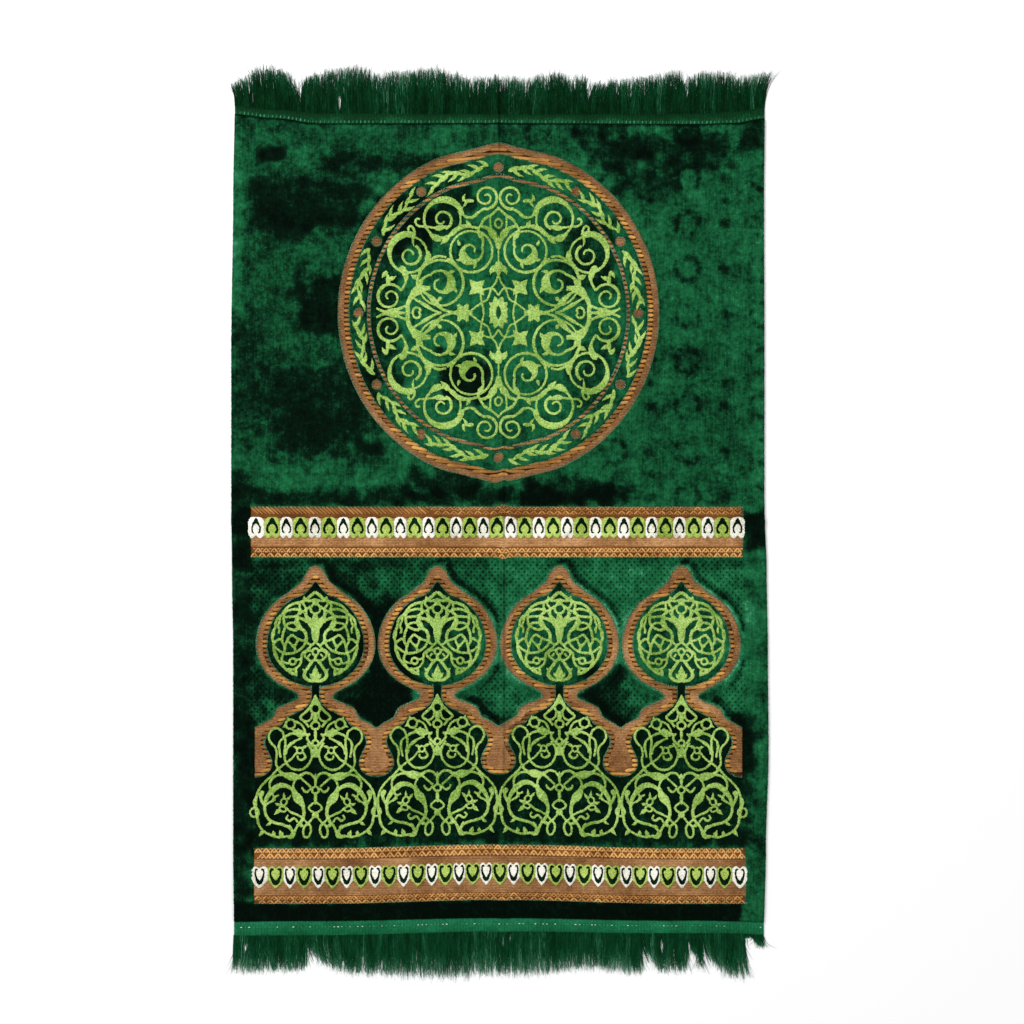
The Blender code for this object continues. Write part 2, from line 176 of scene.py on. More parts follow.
# The two bands of petals. The petals are pile and stand on the flat weave.
Band = namedtuple("Band", "left right top bottom petals_left petals_right petal_top petal_bottom")
UPPER_BAND = Band(left=-325.0, right=322.4, top=20.6, bottom=-46.6,
                  petals_left=-329.6, petals_right=325.0, petal_top=6.6, petal_bottom=-22.3)
LOWER_BAND = Band(left=-321.0, right=326.0, top=-428.1, bottom=-501.7,
                  petals_left=-325.0, petals_right=328.0, petal_top=-451.8, petal_bottom=-482.0)
PETALS = 35
PetalShift = namedtuple("PetalShift", "across off")
PETAL_SHIFTS = [PetalShift(across=-110, off=5.0), PetalShift(across=40, off=0.0),
                PetalShift(across=150, off=-0.6), PetalShift(across=250, off=-2.4)]
WHITE_PETAL_SLIM = 0.9

# The row of onion arches. An arch is drawn from its middle out, above the foot of its columns.
ARCHES = 4
ARCH_PITCH = 160.2
ARCHES_MIDDLE = 0.6
ARCH_FOOT = -336.9
ONION_MIDDLE = 175.3
ONION_OUTER = (78.8, 78.0, 65.0)
ONION_INNER = (63.0, 68.0, 54.5)
ONION_STEPS = 12
ARCH_RIB_WIDTH = 7.4

# Half of an arch's outer edge: its tip, then the onion's arc, then the neck and the shoulder.
Point = namedtuple("Point", "across up")
OUTER_TIP = [Point(0, 280), Point(7, 277.6), Point(13, 270), Point(18.4, 259.4), Point(27, 252.5)]
OUTER_ARC_FROM = math.radians(62)
OUTER_ARC_TO = math.radians(-62)
OUTER_SHOULDER = [
    Point(25, 111), Point(23.6, 106), Point(29, 102.6), Point(49.5, 93.5), Point(55, 86),
    Point(58.5, 79.6), Point(72, 72), Point(80.1, 67),
]

# Half of its inner edge, from the top of the onion down to the column's foot.
INNER_TIP = [Point(0, 258), Point(6, 250.5)]
INNER_ARC_FROM = math.radians(76)
INNER_ARC_TO = math.radians(-82)
INNER_DOME = [
    Point(5.2, 121.2), Point(5.2, 103), Point(9, 96.6), Point(16, 90.6), Point(37, 79.4),
    Point(45, 70), Point(61, 58.6), Point(65.5, 51), Point(65.5, 43), Point(58, 27),
    Point(57, 17), Point(61, 8.5), Point(70, 2.5), Point(80.1, 0.7),
]

# The pile's and the yarns' fine sizes.
PILE_GRAIN = 3.4
MOTIF_GRAIN = 1.9
PETAL_GRAIN = 2.0
EDGE_STEP = 1.3
EDGE_JITTER = 0.26
LEAST_CORNERS = 4
FLOAT_PITCH = 6.04
FLOAT_THICK = 2.2
KNOT = 1.3133

# The charts are drawn in knots from the middle of a motif, one knot being KNOT wide.
Scroll = namedtuple("Scroll", "across up radius start sweep inner width swell at")
Stem = namedtuple("Stem", "width points swell at", defaults=(0, 0.5))
Leaf = namedtuple("Leaf", "across up heading length width curl", defaults=(0,))
Loop = namedtuple("Loop", "across up wide tall turn width")
Bud = namedtuple("Bud", "across up wide tall turn")

# Flowers and leafy scrolls: their parts as shares of their size, and their turns in degrees.
STAR_BUD = 0.5
STAR_PETAL = 0.62
STAR_CURL = 14
RIM_SWEEP = 372
RIM_CLOSES = 0.93
COIL_SHARE = 0.56
COIL_START = 48
COIL_SWEEP = 400
COIL_CLOSES = 0.26
COIL_WIDTH = 2.4
COIL_BEND = [(0, 1.0), (26, 0.78), (52, 0.57)]
COIL_LEAVES = (140, 210, 280)
COIL_LEAF_ROOT = 0.58
COIL_LEAF_LENGTH = 0.30
COIL_LEAF_WIDTH = 0.16
COIL_LEAF_LEAN = 30

# How the entries of a chart are drawn.
COIL_STEPS = 0.6
COIL_TURNING = 0.8
COIL_CLOSING = 1.1
OVAL_STEPS = 1.6
LEAF_ROOT = 0.1
LEAF_LENGTH = 0.93
LEAF_FULLNESS = 0.75

# Petals: how deep the dips of their round, lobed and pointed edges are, as shares of their depth.
PETAL_ROUND = 0.20
PETAL_ROUND_POWER = 4
PETAL_LOBE_START = 0.02
PETAL_LOBE_UPPER = 0.14
PETAL_LOBE_LOWER = 0.10
PETAL_LOBE_POWER = 1.6
PETAL_POINT = 0.36
PETAL_POINT_POWER = 1.2

# Fine sizes of strokes, petals, vines and pile.
SEAM_GAP = 0.34
WELD = 0.0005
SLIVER = 0.02
CELL = 4.0
BED_SKIP = 3
CAD_END_STEP = 10.0
CAD_SIDE_STEP = 60.0
COIL_TIP = 1.9
LEAF_TIP = 0.2
SWELL_LENGTH = 0.16
PETAL_STEPS = 16
GRAIN_JITTER = 0.2
GRAIN_INSET = 0.4
GRAIN_KEPT = 3
VINE_STEPS = 12
VINE_START = 0.12
VINE_SWING = 2.8
VINE_STEM = Stem(width=2.2, points=None, swell=0.4)
VINE_FIRST_LEAF = 0.2
VINE_LEAF = 12.5
VINE_LEAF_WIDTH = 3.5
VINE_LEAF_PITCH = 4.6
VINE_LEAF_TILT = 38.0
VINE_LEAF_CURL = 30.0
STIPPLE_ACROSS = 3.9
STIPPLE_ALONG = 4.38
STIPPLE_PIT = -0.55
STIPPLE_KNOB = 0.10
STIPPLE_WIDER = 2.0
STIPPLE_OFF = 4.0
TipBox = namedtuple("TipBox", "wide low high")
TIP_BOX = TipBox(wide=12, low=240, high=284)
# Painted glints: light specks added to the green pile's colour.
GLINT_ABOVE = 0.64
GLINT_SHADE = 0.8
# Painted shade in the pits of the figured ground.
PIT_EDGES = (0.30, 0.95)
PIT_SHADE = 0.32
PIT_WANDER = 1.7
Shoulder = namedtuple("Shoulder", "off up")
SHOULDERS = [Shoulder(off=0, up=112), Shoulder(off=26, up=106), Shoulder(off=50, up=96),
             Shoulder(off=60, up=82), Shoulder(off=80, up=70)]

# Painted sheen and shade where the green pile is brushed: oblong patches that are lighter or darker
# than the rest.
Patch = namedtuple("Patch", "left right bottom top soft shade")
NAP_MIDDLE = 0.56
NAP_PATCHES = [
    # the field round the medallion
    Patch(-350, 150, 490, 530, 15, -0.06),
    Patch(-230, -50, 462, 482, 14, -0.26),
    Patch(-316, -278, 472, 491, 10, -0.42),
    Patch(-350, -160, 90, 480, 60, -0.10),
    Patch(-326, -178, 388, 446, 24, -0.30),
    Patch(-300, -250, 372, 396, 15, -0.30),
    Patch(-264, -208, 252, 312, 24, -0.36),
    Patch(-350, -308, 140, 270, 27, -0.16),
    Patch(-300, -165, 92, 196, 34, -0.26),
    Patch(-345, 170, 22, 42, 17, -0.30),
    Patch(-120, -30, 36, 66, 17, -0.30),
    Patch(30, 150, 24, 52, 17, -0.34),
    Patch(120, 300, 474, 508, 24, -0.34),
    Patch(150, 240, 430, 474, 27, -0.22),
    Patch(316, 350, 490, 530, 14, -0.30),
    Patch(190, 330, 40, 240, 41, -0.05),
    Patch(334, 360, 40, 380, 7, 0.10),
    Patch(-360, -336, 280, 500, 7, 0.12),
    # inside the medallion
    Patch(-175, 175, 100, 450, 34, 0.03),
    Patch(-150, -88, 360, 430, 27, -0.50),
    Patch(-92, -34, 384, 440, 20, -0.30),
    Patch(84, 150, 300, 395, 24, -0.28),
    Patch(-172, -130, 180, 360, 16, -0.26),
    Patch(-74, -12, 160, 218, 20, -0.50),
    Patch(96, 156, 150, 240, 24, -0.20),
    # between the bands
    Patch(-352, -326, -520, -30, 12, -0.27),
    Patch(-345, 345, -60, -47, 5, -0.10),
    Patch(-325, -175, -240, -60, 34, -0.26),
    Patch(-180, -108, -270, -105, 24, -0.62),
    Patch(0, 330, -250, -50, 44, 0.16),
    Patch(-335, 335, -428, -262, 34, -0.34),
    Patch(-335, -150, -428, -262, 51, -0.12),
    Patch(308, 332, -330, -250, 14, -0.30),
    Patch(-350, 316, -536, -500, 9, -0.70),
    Patch(112, 170, -272, -190, 20, -0.40),
    Patch(26, 134, -236, -96, 16, -0.22),
    Patch(186, 294, -236, -96, 16, -0.20),
    Patch(-134, -26, -190, -96, 16, -0.20),
    # painted crease shade at the ends of the fold across the rug
    Patch(-352, -326, -14, 14, 12, -0.40),
    Patch(-360, -326, -60, 70, 14, -0.26),
    Patch(324, 352, -32, 12, 14, -0.50),
]
NAP_WANDER = 0.9
NAP_WANDER_SIZE = (17.0, 17.0)
NAP_CLOUD = 0.13
NAP_CLOUD_SIZE = (46.0, 34.0)
# Painted highlight along the pile's edges beside the arches and the bands, where its loose tips
# catch the light.
LIT_EDGE_REACH = 3.4
LIT_EDGE_LEAST = 0.1
LIT_EDGE_SHADE = 0.5
LIT_EDGE_APART = 7.0
LIT_BAND_EDGE = 0.6
LIT_BAND_INSET = 1.0

# Painted shadow where the pile is narrow in each arch: in the onion's tip, in its neck and below
# that.
Narrow = namedtuple("Narrow", "up wide tall")
NARROWS = [Narrow(up=252, wide=18, tall=20), Narrow(up=110, wide=13, tall=26),
           Narrow(up=80, wide=66, tall=34)]
NARROW_SHADOW = 0.5
# Painted shadow on the pile beside the right side of each arch, and just inside the upper tape's
# seam.
EDGE_SHADOW = 0.34
EDGE_SHADOW_OFF = 6.0
EDGE_SHADOW_REACH = 9.0
SEAM_SHADOW = 0.5
SEAM_SHADOW_REACH = 3.2

# The faint figure embossed in the field: columns of spots and of rings by turns.
EMBOSS_SHADE = 0.5
EMBOSS_ACROSS = 49.0
EMBOSS_ALONG = 30.0
EMBOSS_START = (298.0, 92.0)
EMBOSS_SPOT = (12.0, 7.0)
EMBOSS_RING = 15.0
EMBOSS_RING_FRESH = 0.7
EMBOSS_RING_WIDTH = 7.0
EMBOSS_WEAR_SIZE = (38.0, 38.0)
EMBOSS_BREAK_SIZE = (7.0, 7.0)
EMBOSS_LEFT = 0.35
EMBOSS_WORN = 0.5

# Sizes in the weave, the yarns and the tufts.
SHEEN_ROUGHNESS = 0.4
# Painted glint on a few of the lower tape's stitches.
STITCH_GLINT = 2.4
# Painted shade in the crease of the long fold, and how strong it is along the rug.
CREASE_OFF = 0.7
CREASE_WIDTH = 3.4
CREASE_SHADE = 0.6
CREASE_STRENGTH = [(-420, 0.08), (-330, 0.5), (-60, 0.9), (-46, 0.45), (20, 0.45), (30, 0.9),
                   (60, 0.3), (480, 0.25), (500, 1.0)]
ALONG_LOW = -600.0
WEAVE_STRENGTH = [(-430, 0.86), (-330, 0.88), (-60, 0.88), (-46, 1.1), (22, 1.1), (60, 0.66)]
WAVE_UNIT = 314.159
WEFT_PITCH = 2.1
WARP_PITCH = 1.5
TUFT_SWAY = 0.5
TUFT_STRETCH = 4.0
TUFT_INSET = 0.5
TUFT_ROOT = 3.0
TUFT_LEAN = 1.7
TUFT_SPACING = 1.15
TUFT_LENGTH = 3.8
TUFT_WIDTH = 0.5
TUFT_SIZES = (0.55, 1.25)
CLOSED_WITHIN = 6.0
FLOAT_HEIGHT = 2.6
FLOAT_FLATNESS = 0.45
FLOAT_END = 3.0
FLOAT_ROUNDING = [(0.0, 0.3), (0.4, 0.75)]
FLOAT_STEP = 5.0
FLOAT_TILT = 0.5
FLOAT_SIDES = 8
FLOAT_SHORTEST = 2.0
FLOAT_TWIST = math.radians(11)
FLOAT_TWISTED = 2.2
FLOAT_LONGER = 1.8
FINE_FLOAT_THICK = 2.0
RING_RIB_WIDTH = 8.1
FINE_RIB_WIDTH = 5.4
ARCH_BED_WIDTH = 6.7
RIB_SAMPLE = 0.6
LATTICE_SIDES = 5
STROKE_SIZES = ((0.0, 0.6), (0.5, 1.0), (1.0, 0.6))
Bar = namedtuple("Bar", "off thick")
BARS = (Bar(off=0.0, thick=2.25), Bar(off=5.2, thick=1.3))
BAR_END = 0.6
PEAK_DROP = 0.9
PEAK_FOOT = -0.2
PEAK_WIDE = 0.88
PEAK_THICK = 1.55
PEAK_GAP = 0.2
INNER_DROP = 3.9
INNER_WIDE = 1.5
INNER_THICK = 1.25
CREST_DEEP = 1.4
CREST_WIDE = 1.2
CREST_THICK = 1.15
BEAD_PITCH = 5.3
BEAD_LONG = 1.1
BEAD_THICK = 0.75
LATTICE_REPEAT = 10.5
LATTICE_HEIGHT = 2.9
LATTICE_FLATNESS = 0.6
BED_RISE = 0.12
BED_STEP = 6.0

# The tapes and the fringes.
TapeLine = namedtuple("TapeLine", "part height")
TOP_TAPE = [TapeLine(0.0, 1.2), TapeLine(0.06, 1.9), TapeLine(0.5, 2.05), TapeLine(0.92, 1.8),
            TapeLine(1.0, 1.0)]
BOTTOM_TAPE = [TapeLine(0.0, 1.2), TapeLine(0.06, 2.0), TapeLine(0.38, 2.1), TapeLine(0.46, 1.45),
               TapeLine(0.54, 2.0), TapeLine(0.92, 1.9), TapeLine(1.0, 1.0)]
TAPE_STEP = 0.95
TAPE_RIB = 0.07
TAPE_RIB_PITCH = 3.9
GROOVE_PART = 0.40
LOCK_PITCH = 6.5
LOCK_GATHER = -0.06
LOCK_SWAY = 1.0
LOCK_REACH = 1.6
LOCK_SHADE = 0.5
Strands = namedtuple("Strands", "count thick tip reach lower sway curl joints")
FINE_STRANDS = Strands(count=23, thick=0.42, tip=0.08, reach=1.0, lower=0.9, sway=2.4, curl=4.6,
                       joints=6)
BROAD_STRANDS = Strands(count=7, thick=1.15, tip=0.30, reach=0.92, lower=0.0, sway=0.7, curl=0.6,
                        joints=6)
STRAND_SIDES = 3
STRAND_FLATNESS = 0.6
STRAND_ROOT = 1.5
STRAND_LOW = 0.75
STRAND_PILE = 1.4
STRAND_UNEVEN = 0.065
STRAND_WAVE = 0.28
STRAND_WAVES = 4.5
STRAND_FALL = 0.3
LEAN_STARTS = 1.5
CURL_STARTS = 3
SHORTEST_FRINGE = 6.0
STITCH_PITCH = 5.3
Joint = namedtuple("Joint", "lean off height thick")
TOOTH = [Joint(0, 0.5, 1.7, 0.6), Joint(0.3, 1.2, 2.3, 1.3), Joint(1, 3.6, 2.3, 1.0),
         Joint(1, 4.4, 1.7, 0.4)]
TOOTH_INSET = 2.0
TOOTH_LEAN = 0.5
TOOTH_FLATNESS = 0.7
GROOVE_STITCH = [Joint(-1, 0, 1.9, 0.3), Joint(0, 0, 2.2, 0.55), Joint(1, 0, 1.9, 0.3)]
GROOVE_STITCH_HALF = (0.6, 1.3)
GROOVE_INSET = 4.0
GROOVE_JITTER = 0.6
GROOVE_FLATNESS = 0.8
STITCH_RARITY = 5

# Seeds of the random draws, so that every run makes the same rug.
OUTLINE_SEED = 11
PILE_SEED = 21
MOTIF_SEED = 31
PETAL_SEED = 51
RIB_SEED = 61
LATTICE_SEED = 71
TUFT_SEED = 7
TEETH_SEED = 91
GROOVE_SEED = 92
UPPER_FRINGE_SEED = 93
LOWER_FRINGE_SEED = 94

# The flat woven strips with lattices of floats.
Lattice = namedtuple("Lattice", "left right top bottom pattern light")
LATTICES = [
    Lattice(-325.0, -90.0, 20.6, 9.8, "slanted", -0.7),
    Lattice(-90.0, 322.4, 20.6, 9.8, "nested", -0.4),
    Lattice(-325.0, 322.4, -33.6, -46.6, "nested", 0.3),
    Lattice(-321.0, 326.0, -428.1, -441.9, "beaded", 0.4),
    Lattice(-321.0, 326.0, -491.2, -501.7, "nested", -0.1),
]
DARK_STRIPS = [
    Lattice(-325.0, 322.4, 9.8, 5.0, "plain", 0),
    Lattice(-325.0, 322.4, -32.0, -33.6, "plain", 0),
    Lattice(-321.0, 326.0, -441.9, -443.6, "plain", 0),
]

# Petals, their loops, and how deep the motifs are rooted in the pile. Loops are in knots.
MOTIF_ROOT = 1.2
MOTIF_EDGE_DROP = 0.12
MOTIF_JITTER = 0.38
PETAL_EDGE_DROP = 0.7
LOOP_RISE = 0.45
Loops = namedtuple("Loops", "wide thick heavy")
LIME_LOOPS = Loops(wide=1.0, thick=2.1, heavy=2.4)
WHITE_LOOPS = Loops(wide=0.8, thick=1.6, heavy=2.0)
HORSESHOE = [(-2.4, -15.6), (-4.4, -15.2), (-5.1, -12.2), (-4.4, -9.2), (-2.6, -6.6), (-0.9, -4.8),
             (0, -2.6)]
HEART = [(-2.2, -4.2), (-4.0, -3.0), (-5.1, -5.2), (-5.1, -8.6), (-3.6, -12.8), (0, -17.2)]

# The ground weave, the room and the camera.
GROUND_STEP = 14.0
FOLD_STEP = 2.0
LONG_FOLD_CLOSE = 22.0
CROSS_FOLD_CLOSE = 16.0
FLOOR_HALF = 6000 * MM
FLOOR_Z = -0.3 * MM
FLOOR_COLOUR = (0.9, 0.9, 0.9, 1.0)
FLOOR_ROUGHNESS = 0.9
KEY_SPOT = (-1.3, 1.2, 2.4)
KEY_SIZE = 1.6
KEY_ENERGY = 70.0
FILL_SPOT = (1.6, -1.2, 2.2)
FILL_SIZE = 2.0
FILL_ENERGY = 16.0
ROOM_LIGHT = 0.55
LENS = 50.0
SENSOR = 36.0
PICTURE_WIDTH = 1344.8
CAMERA_ACROSS = 18.4
CAMERA_ALONG = 13.1


def star(across, up, size, turn, points):
    """A flower of pointed petals round a bud."""
    return [Bud(across, up, size * STAR_BUD, size * STAR_BUD, 0)] + [
        Leaf(across, up, turn + 360 * number / points, size, size * STAR_PETAL, STAR_CURL)
        for number in range(points)]


def leafy_scroll(across, up, radius, start, crescent):
    """A round scroll with a coil inside it that swells to a leafy crescent."""
    def spot(turn, share):
        bearing = math.radians(start + turn)
        return (across + share * radius * math.cos(bearing),
                up + share * radius * math.sin(bearing))

    return [
        Scroll(across, up, radius, start, RIM_SWEEP, RIM_CLOSES, COIL_WIDTH, 0.6, 0.5),
        Stem(2.6, [spot(turn, share) for turn, share in COIL_BEND], 3.0, 0.3),
        Scroll(across, up, COIL_SHARE * radius, start + COIL_START, COIL_SWEEP, COIL_CLOSES,
               COIL_WIDTH, crescent, 0.5),
    ] + [Leaf(*spot(turn, COIL_LEAF_ROOT), start + turn + COIL_LEAF_LEAN,
              COIL_LEAF_LENGTH * radius, COIL_LEAF_WIDTH * radius, COIL_LEAF_LEAN)
         for turn in COIL_LEAVES]


MEDALLION = [
    # the round scrolls of one quarter
    Scroll(12.6, 115.5, 12.0, -75, -590, 0.14, 2.4, 0.6, 0.12),
    Scroll(55.3, 93.5, 20.0, 170, -380, 0.86, 2.4, 4.6, 0.18),
    Scroll(56.3, 93.0, 10.0, -110, -400, 0.22, 2.4, 0.8, 0.2),
    Scroll(89.5, 59.0, 20.0, 105, -380, 0.86, 2.4, 4.6, 0.14),
    Scroll(88.5, 57.6, 11.0, 120, 420, 0.25, 2.4, 0.8, 0.2),
    Scroll(108.9, 15.5, 13.4, 150, -560, 0.14, 2.4, 1.0, 0.3),
    *leafy_scroll(27.5, 61.5, 21.5, 108, 7.0),
    *leafy_scroll(58.0, 29.5, 23.5, -12, 7.0),
    # stems from scroll to scroll
    Stem(2.4, [(14.5, 104), (20, 100.5), (25.5, 95.8), (32, 95.6), (36, 99)], 0.8, 0.4),
    Stem(2.4, [(-1, 105), (6.5, 98.4), (14, 93.5), (18, 87.5), (21, 82)], 0.6),
    Stem(2.0, [(8, 97), (8.2, 90), (7.6, 84)]),
    Stem(2.6, [(20.5, 84.5), (34, 86.4), (46, 80.8), (52, 72)], 2.4),
    Stem(2.2, [(74.5, 86.4), (79.5, 86.6), (83, 90), (81.6, 94), (78.6, 93.2)]),
    Stem(2.2, [(83.5, 77.5), (84.5, 83), (87.5, 86.8), (90.5, 84.4), (89.4, 82)]),
    Stem(2.4, [(97.5, 42), (92.6, 36.5), (93.2, 29.5), (97.5, 22)], 3.0, 0.3),
    Stem(2.4, [(70.3, 62), (71.4, 53.5), (77, 44), (80.5, 34), (81.2, 25)], 1.2),
    Stem(2.2, [(52.2, 55.4), (60, 56.6), (66.8, 53.6), (71.6, 50)], 0.8),
    Stem(2.4, [(36.6, 40.2), (43.6, 48.2), (51.4, 54.4)], 2.2, 0.6),
    # leaves on the stems
    Stem(3.0, [(18.6, 87.2), (10.4, 84.0), (4.0, 76.0), (0.6, 64)], 4.6),
    Leaf(28, 86, 50, 8, 4.2, 20),
    Leaf(50, 77, -52, 12, 6.0, 10),
    Leaf(72.5, 52.4, 130, 10, 6.5, -40),
    Leaf(80.6, 35, 8, 8, 5.0, 34),
    Leaf(24.6, 111.6, 8, 12, 3.6, -16),
    Leaf(34.6, 111.4, 74, 8, 3.2, 60),
    Leaf(31.6, 111.6, -64, 8, 3.0, 20),
    Leaf(57, 73.4, 10, 15, 7.0, 38),
    Leaf(63.6, 84.6, 180, 14, 5.6, -24),
    Stem(2.2, [(60, 84.4), (66, 85.2), (75, 86.4)]),
    Leaf(84.0, 79.0, -66, 14, 2.8, -50),
    Leaf(98.6, 46.0, 214, 13, 6.0, 30),
    Leaf(110.4, 28, 90, 14, 4.2, -10),
    Leaf(110.2, 33.4, 170, 9, 4.4, -30),
    Leaf(110.8, 41, -28, 9, 4.4, -50),
    # the broad leaves across the middle
    Stem(4.4, [(68, 24.6), (79, 23.4), (86.4, 17.0), (90.6, 8.6), (90.5, -1)], 5.0, 0.35),
    Stem(2.6, [(80, 23.4), (73, 19.8), (66.4, 14), (60.6, 7.8), (54.6, 2.8), (44, 0)], 3.2, 0.45),
    Stem(2.3, [(87, 16), (80, 11.6), (72, 6.8), (64, 2), (57, 0)], 1.8),
    Stem(2.2, [(86, -0.4), (84.4, 4.2), (80.6, 5.2), (78.0, 2.6), (79.6, 0)]),
    Stem(2.4, [(91, 7.5), (101, 3.5), (113, 1.0), (122, 4.6)], 2.8),
    Leaf(99, 2.0, -20, 18, 4.4, 50),
    Leaf(93, 0, 0, 24, 3.6),
    *star(35.5, 0, 10.5, 0, 6),
    # the middle
    *star(21.6, 25.4, 11.0, 42, 4),
    Loop(0, 0, 5.8, 10.0, 0, 6.6),
    Leaf(2.4, 11, 72, 5.6, 4.8),
    Leaf(5.4, 7, 42, 5.4, 4.6),
    Leaf(6.0, 3.4, 6, 3.8, 4.4),
    Leaf(0, 51, -90, 16, 8.4),
    Leaf(1.4, 45, -8, 10.8, 6.4, -84),
    Leaf(0, 64, 90, 13, 5.0),
    Loop(0, 89, 3.6, 4.4, 0, 2.0),
    Stem(1.7, [(0, 49), (0, 64)]),
    Stem(1.9, [(0.6, 37), (2.8, 30), (6.4, 25.4), (8.8, 19.4), (11, 13.6), (17, 9.8), (22.4, 6),
               (28, 1.8)]),
    Stem(1.9, [(0, 17), (4.6, 23.6), (9.6, 24.4), (16, 22.6)]),
    Stem(1.9, [(18, 19), (17, 12), (15.4, 5), (14.6, -1)]),
]


# One onion arch, from the middle of the foot of its columns. Its right half.
ONION = [
    # the leafy ring round it
    Stem(2.7, [(0, 186.4), (4, 183.4), (8, 179.8), (11.4, 178), (15.4, 176), (20.4, 175.2),
               (26, 172.6), (30, 168.8), (33, 164.4), (37.4, 160.6), (39.6, 156.4),
               (40.2, 151), (42.6, 146.4), (43.2, 141), (41.8, 135.6), (41.6, 129),
               (39.8, 122.8), (36.4, 117), (32, 111.6), (27, 107.6), (22, 105), (18, 103.4)],
         0.6, 0.0),
    Leaf(10.4, 178.2, 76, 4.6, 3.4),
    Leaf(41.6, 148.6, -78, 13, 3.8, -14),
    Leaf(41.4, 129, -104, 14, 3.6, -24),
    Leaf(28, 108.6, -144, 12, 3.8, -10),
    # the crown
    Bud(0, 176.6, 3.4, 3.8, 0),
    Loop(0, 169.6, 4.9, 4.8, 0, 2.3),
    Stem(2.5, [(2, 178.4), (6.4, 177.4), (10, 178.2)]),
    Stem(2.3, [(11.6, 178), (12.2, 174.4), (9.8, 171), (8.8, 168)]),
    Stem(2.3, [(15.2, 176), (15.8, 171.2), (13.6, 167.4), (9.6, 168.4), (5, 172.4)]),
    # the trunk and its boughs
    Bud(0, 150.4, 4.2, 15.4, 0),
    Leaf(1, 149, 64, 21, 6.4, -16),
    Bud(0, 153, 4.8, 6.4, 0),
    Stem(2.6, [(9.4, 168), (8.8, 162), (5.6, 156.8), (2, 153)], 0.8, 0.8),
    Stem(3.0, [(3, 154.6), (9, 158.2), (17, 160.6)], 2.2, 0.4),
    Stem(3.2, [(17.4, 162.6), (18.8, 157), (15.8, 151.2), (11, 147.2), (9.2, 142.4),
               (9.4, 138)], 2.6, 0.3),
    Stem(2.3, [(9.4, 139), (7.4, 135), (3.6, 133.6), (0, 137)]),
    # the net at its side
    Stem(2.5, [(31.6, 165.8), (26, 168.2), (20, 169.4), (15, 168)]),
    Stem(2.5, [(32, 161), (26, 161.6), (20, 162.2), (16.6, 164.6), (14, 167.4)], 0.8, 0.9),
    Stem(2.3, [(18.6, 155.4), (23, 155.6), (27.4, 154.8), (31, 152)]),
    Stem(2.4, [(15.6, 150.6), (20.6, 148.4), (26, 149.8), (30.4, 153)], 0.8, 0.2),
    Stem(2.5, [(31, 166), (31.8, 160.4), (31.2, 155), (30.2, 151.6), (32.2, 146), (33.2, 140),
               (33.2, 136.4), (31, 132.6), (31, 126)]),
    Stem(2.2, [(34.8, 162.6), (35.8, 157), (37.4, 152.6), (36, 148.6), (36.8, 145)]),
    Stem(2.5, [(33.2, 139.4), (37, 139), (41.4, 135.4)]),
    Stem(2.3, [(31.6, 125.4), (36, 127.6), (40.6, 131.6)]),
    Stem(2.5, [(31.2, 126), (33.4, 121), (33.2, 116), (31.4, 111.6)]),
    # the latticed leaf
    Stem(2.4, [(9.6, 137.6), (13.4, 138), (18.4, 140.4), (23.4, 143.8)]),
    Stem(2.5, [(23.4, 144), (27.4, 139.6), (29.8, 134), (31.4, 127)]),
    Stem(2.5, [(9.4, 136.6), (12.6, 131.4), (17.4, 127.4), (24, 125.2), (31.4, 124.8)]),
    Stem(2.2, [(17.8, 139.8), (19, 135), (21.4, 131.8)], 1.2, 0.9),
    Stem(2.2, [(27.4, 138), (24.6, 134.4), (21.4, 131.8)], 1.2, 0.9),
    Stem(2.4, [(21.4, 132), (19.8, 127)]),
    # the lower net
    Stem(2.3, [(3.6, 134), (6.4, 130), (10.8, 127.2), (13.6, 124), (14, 120.6), (17, 118.6),
               (20.4, 119.2)]),
    Loop(0, 126.6, 3.1, 3.4, 0, 2.3),
    Stem(2.2, [(3.4, 128), (8.2, 127.4), (11, 123.4), (8, 119.6), (4.6, 117.4), (0, 118.6)]),
    Stem(2.0, [(5, 124.6), (7.6, 121.4)]),
    Bud(0, 120.6, 1.7, 3.6, 0),
    Loop(22.8, 117, 3.2, 3.2, 45, 2.3),
    Stem(2.2, [(14, 120), (14.8, 115.4), (17.4, 111.6), (22, 109.2), (28, 109.4)]),
    Stem(2.2, [(25.6, 115.4), (29.4, 115.2), (33, 117.4)]),
    Leaf(20.4, 109.8, -112, 8, 3.0, 24),
    # the bell at its foot
    Stem(3.0, [(2.4, 118), (5.4, 114), (7.8, 110.4), (10.4, 106.6), (11, 102.4), (8.2, 99),
               (3.6, 97.4), (0, 98)], 0.6, 0.6),
    Leaf(0, 97, 90, 16.6, 8.0),
    Leaf(1.6, 100.6, 24, 6.4, 3.6, 60),
    Leaf(10.2, 106.6, 46, 4.6, 2.6),
]
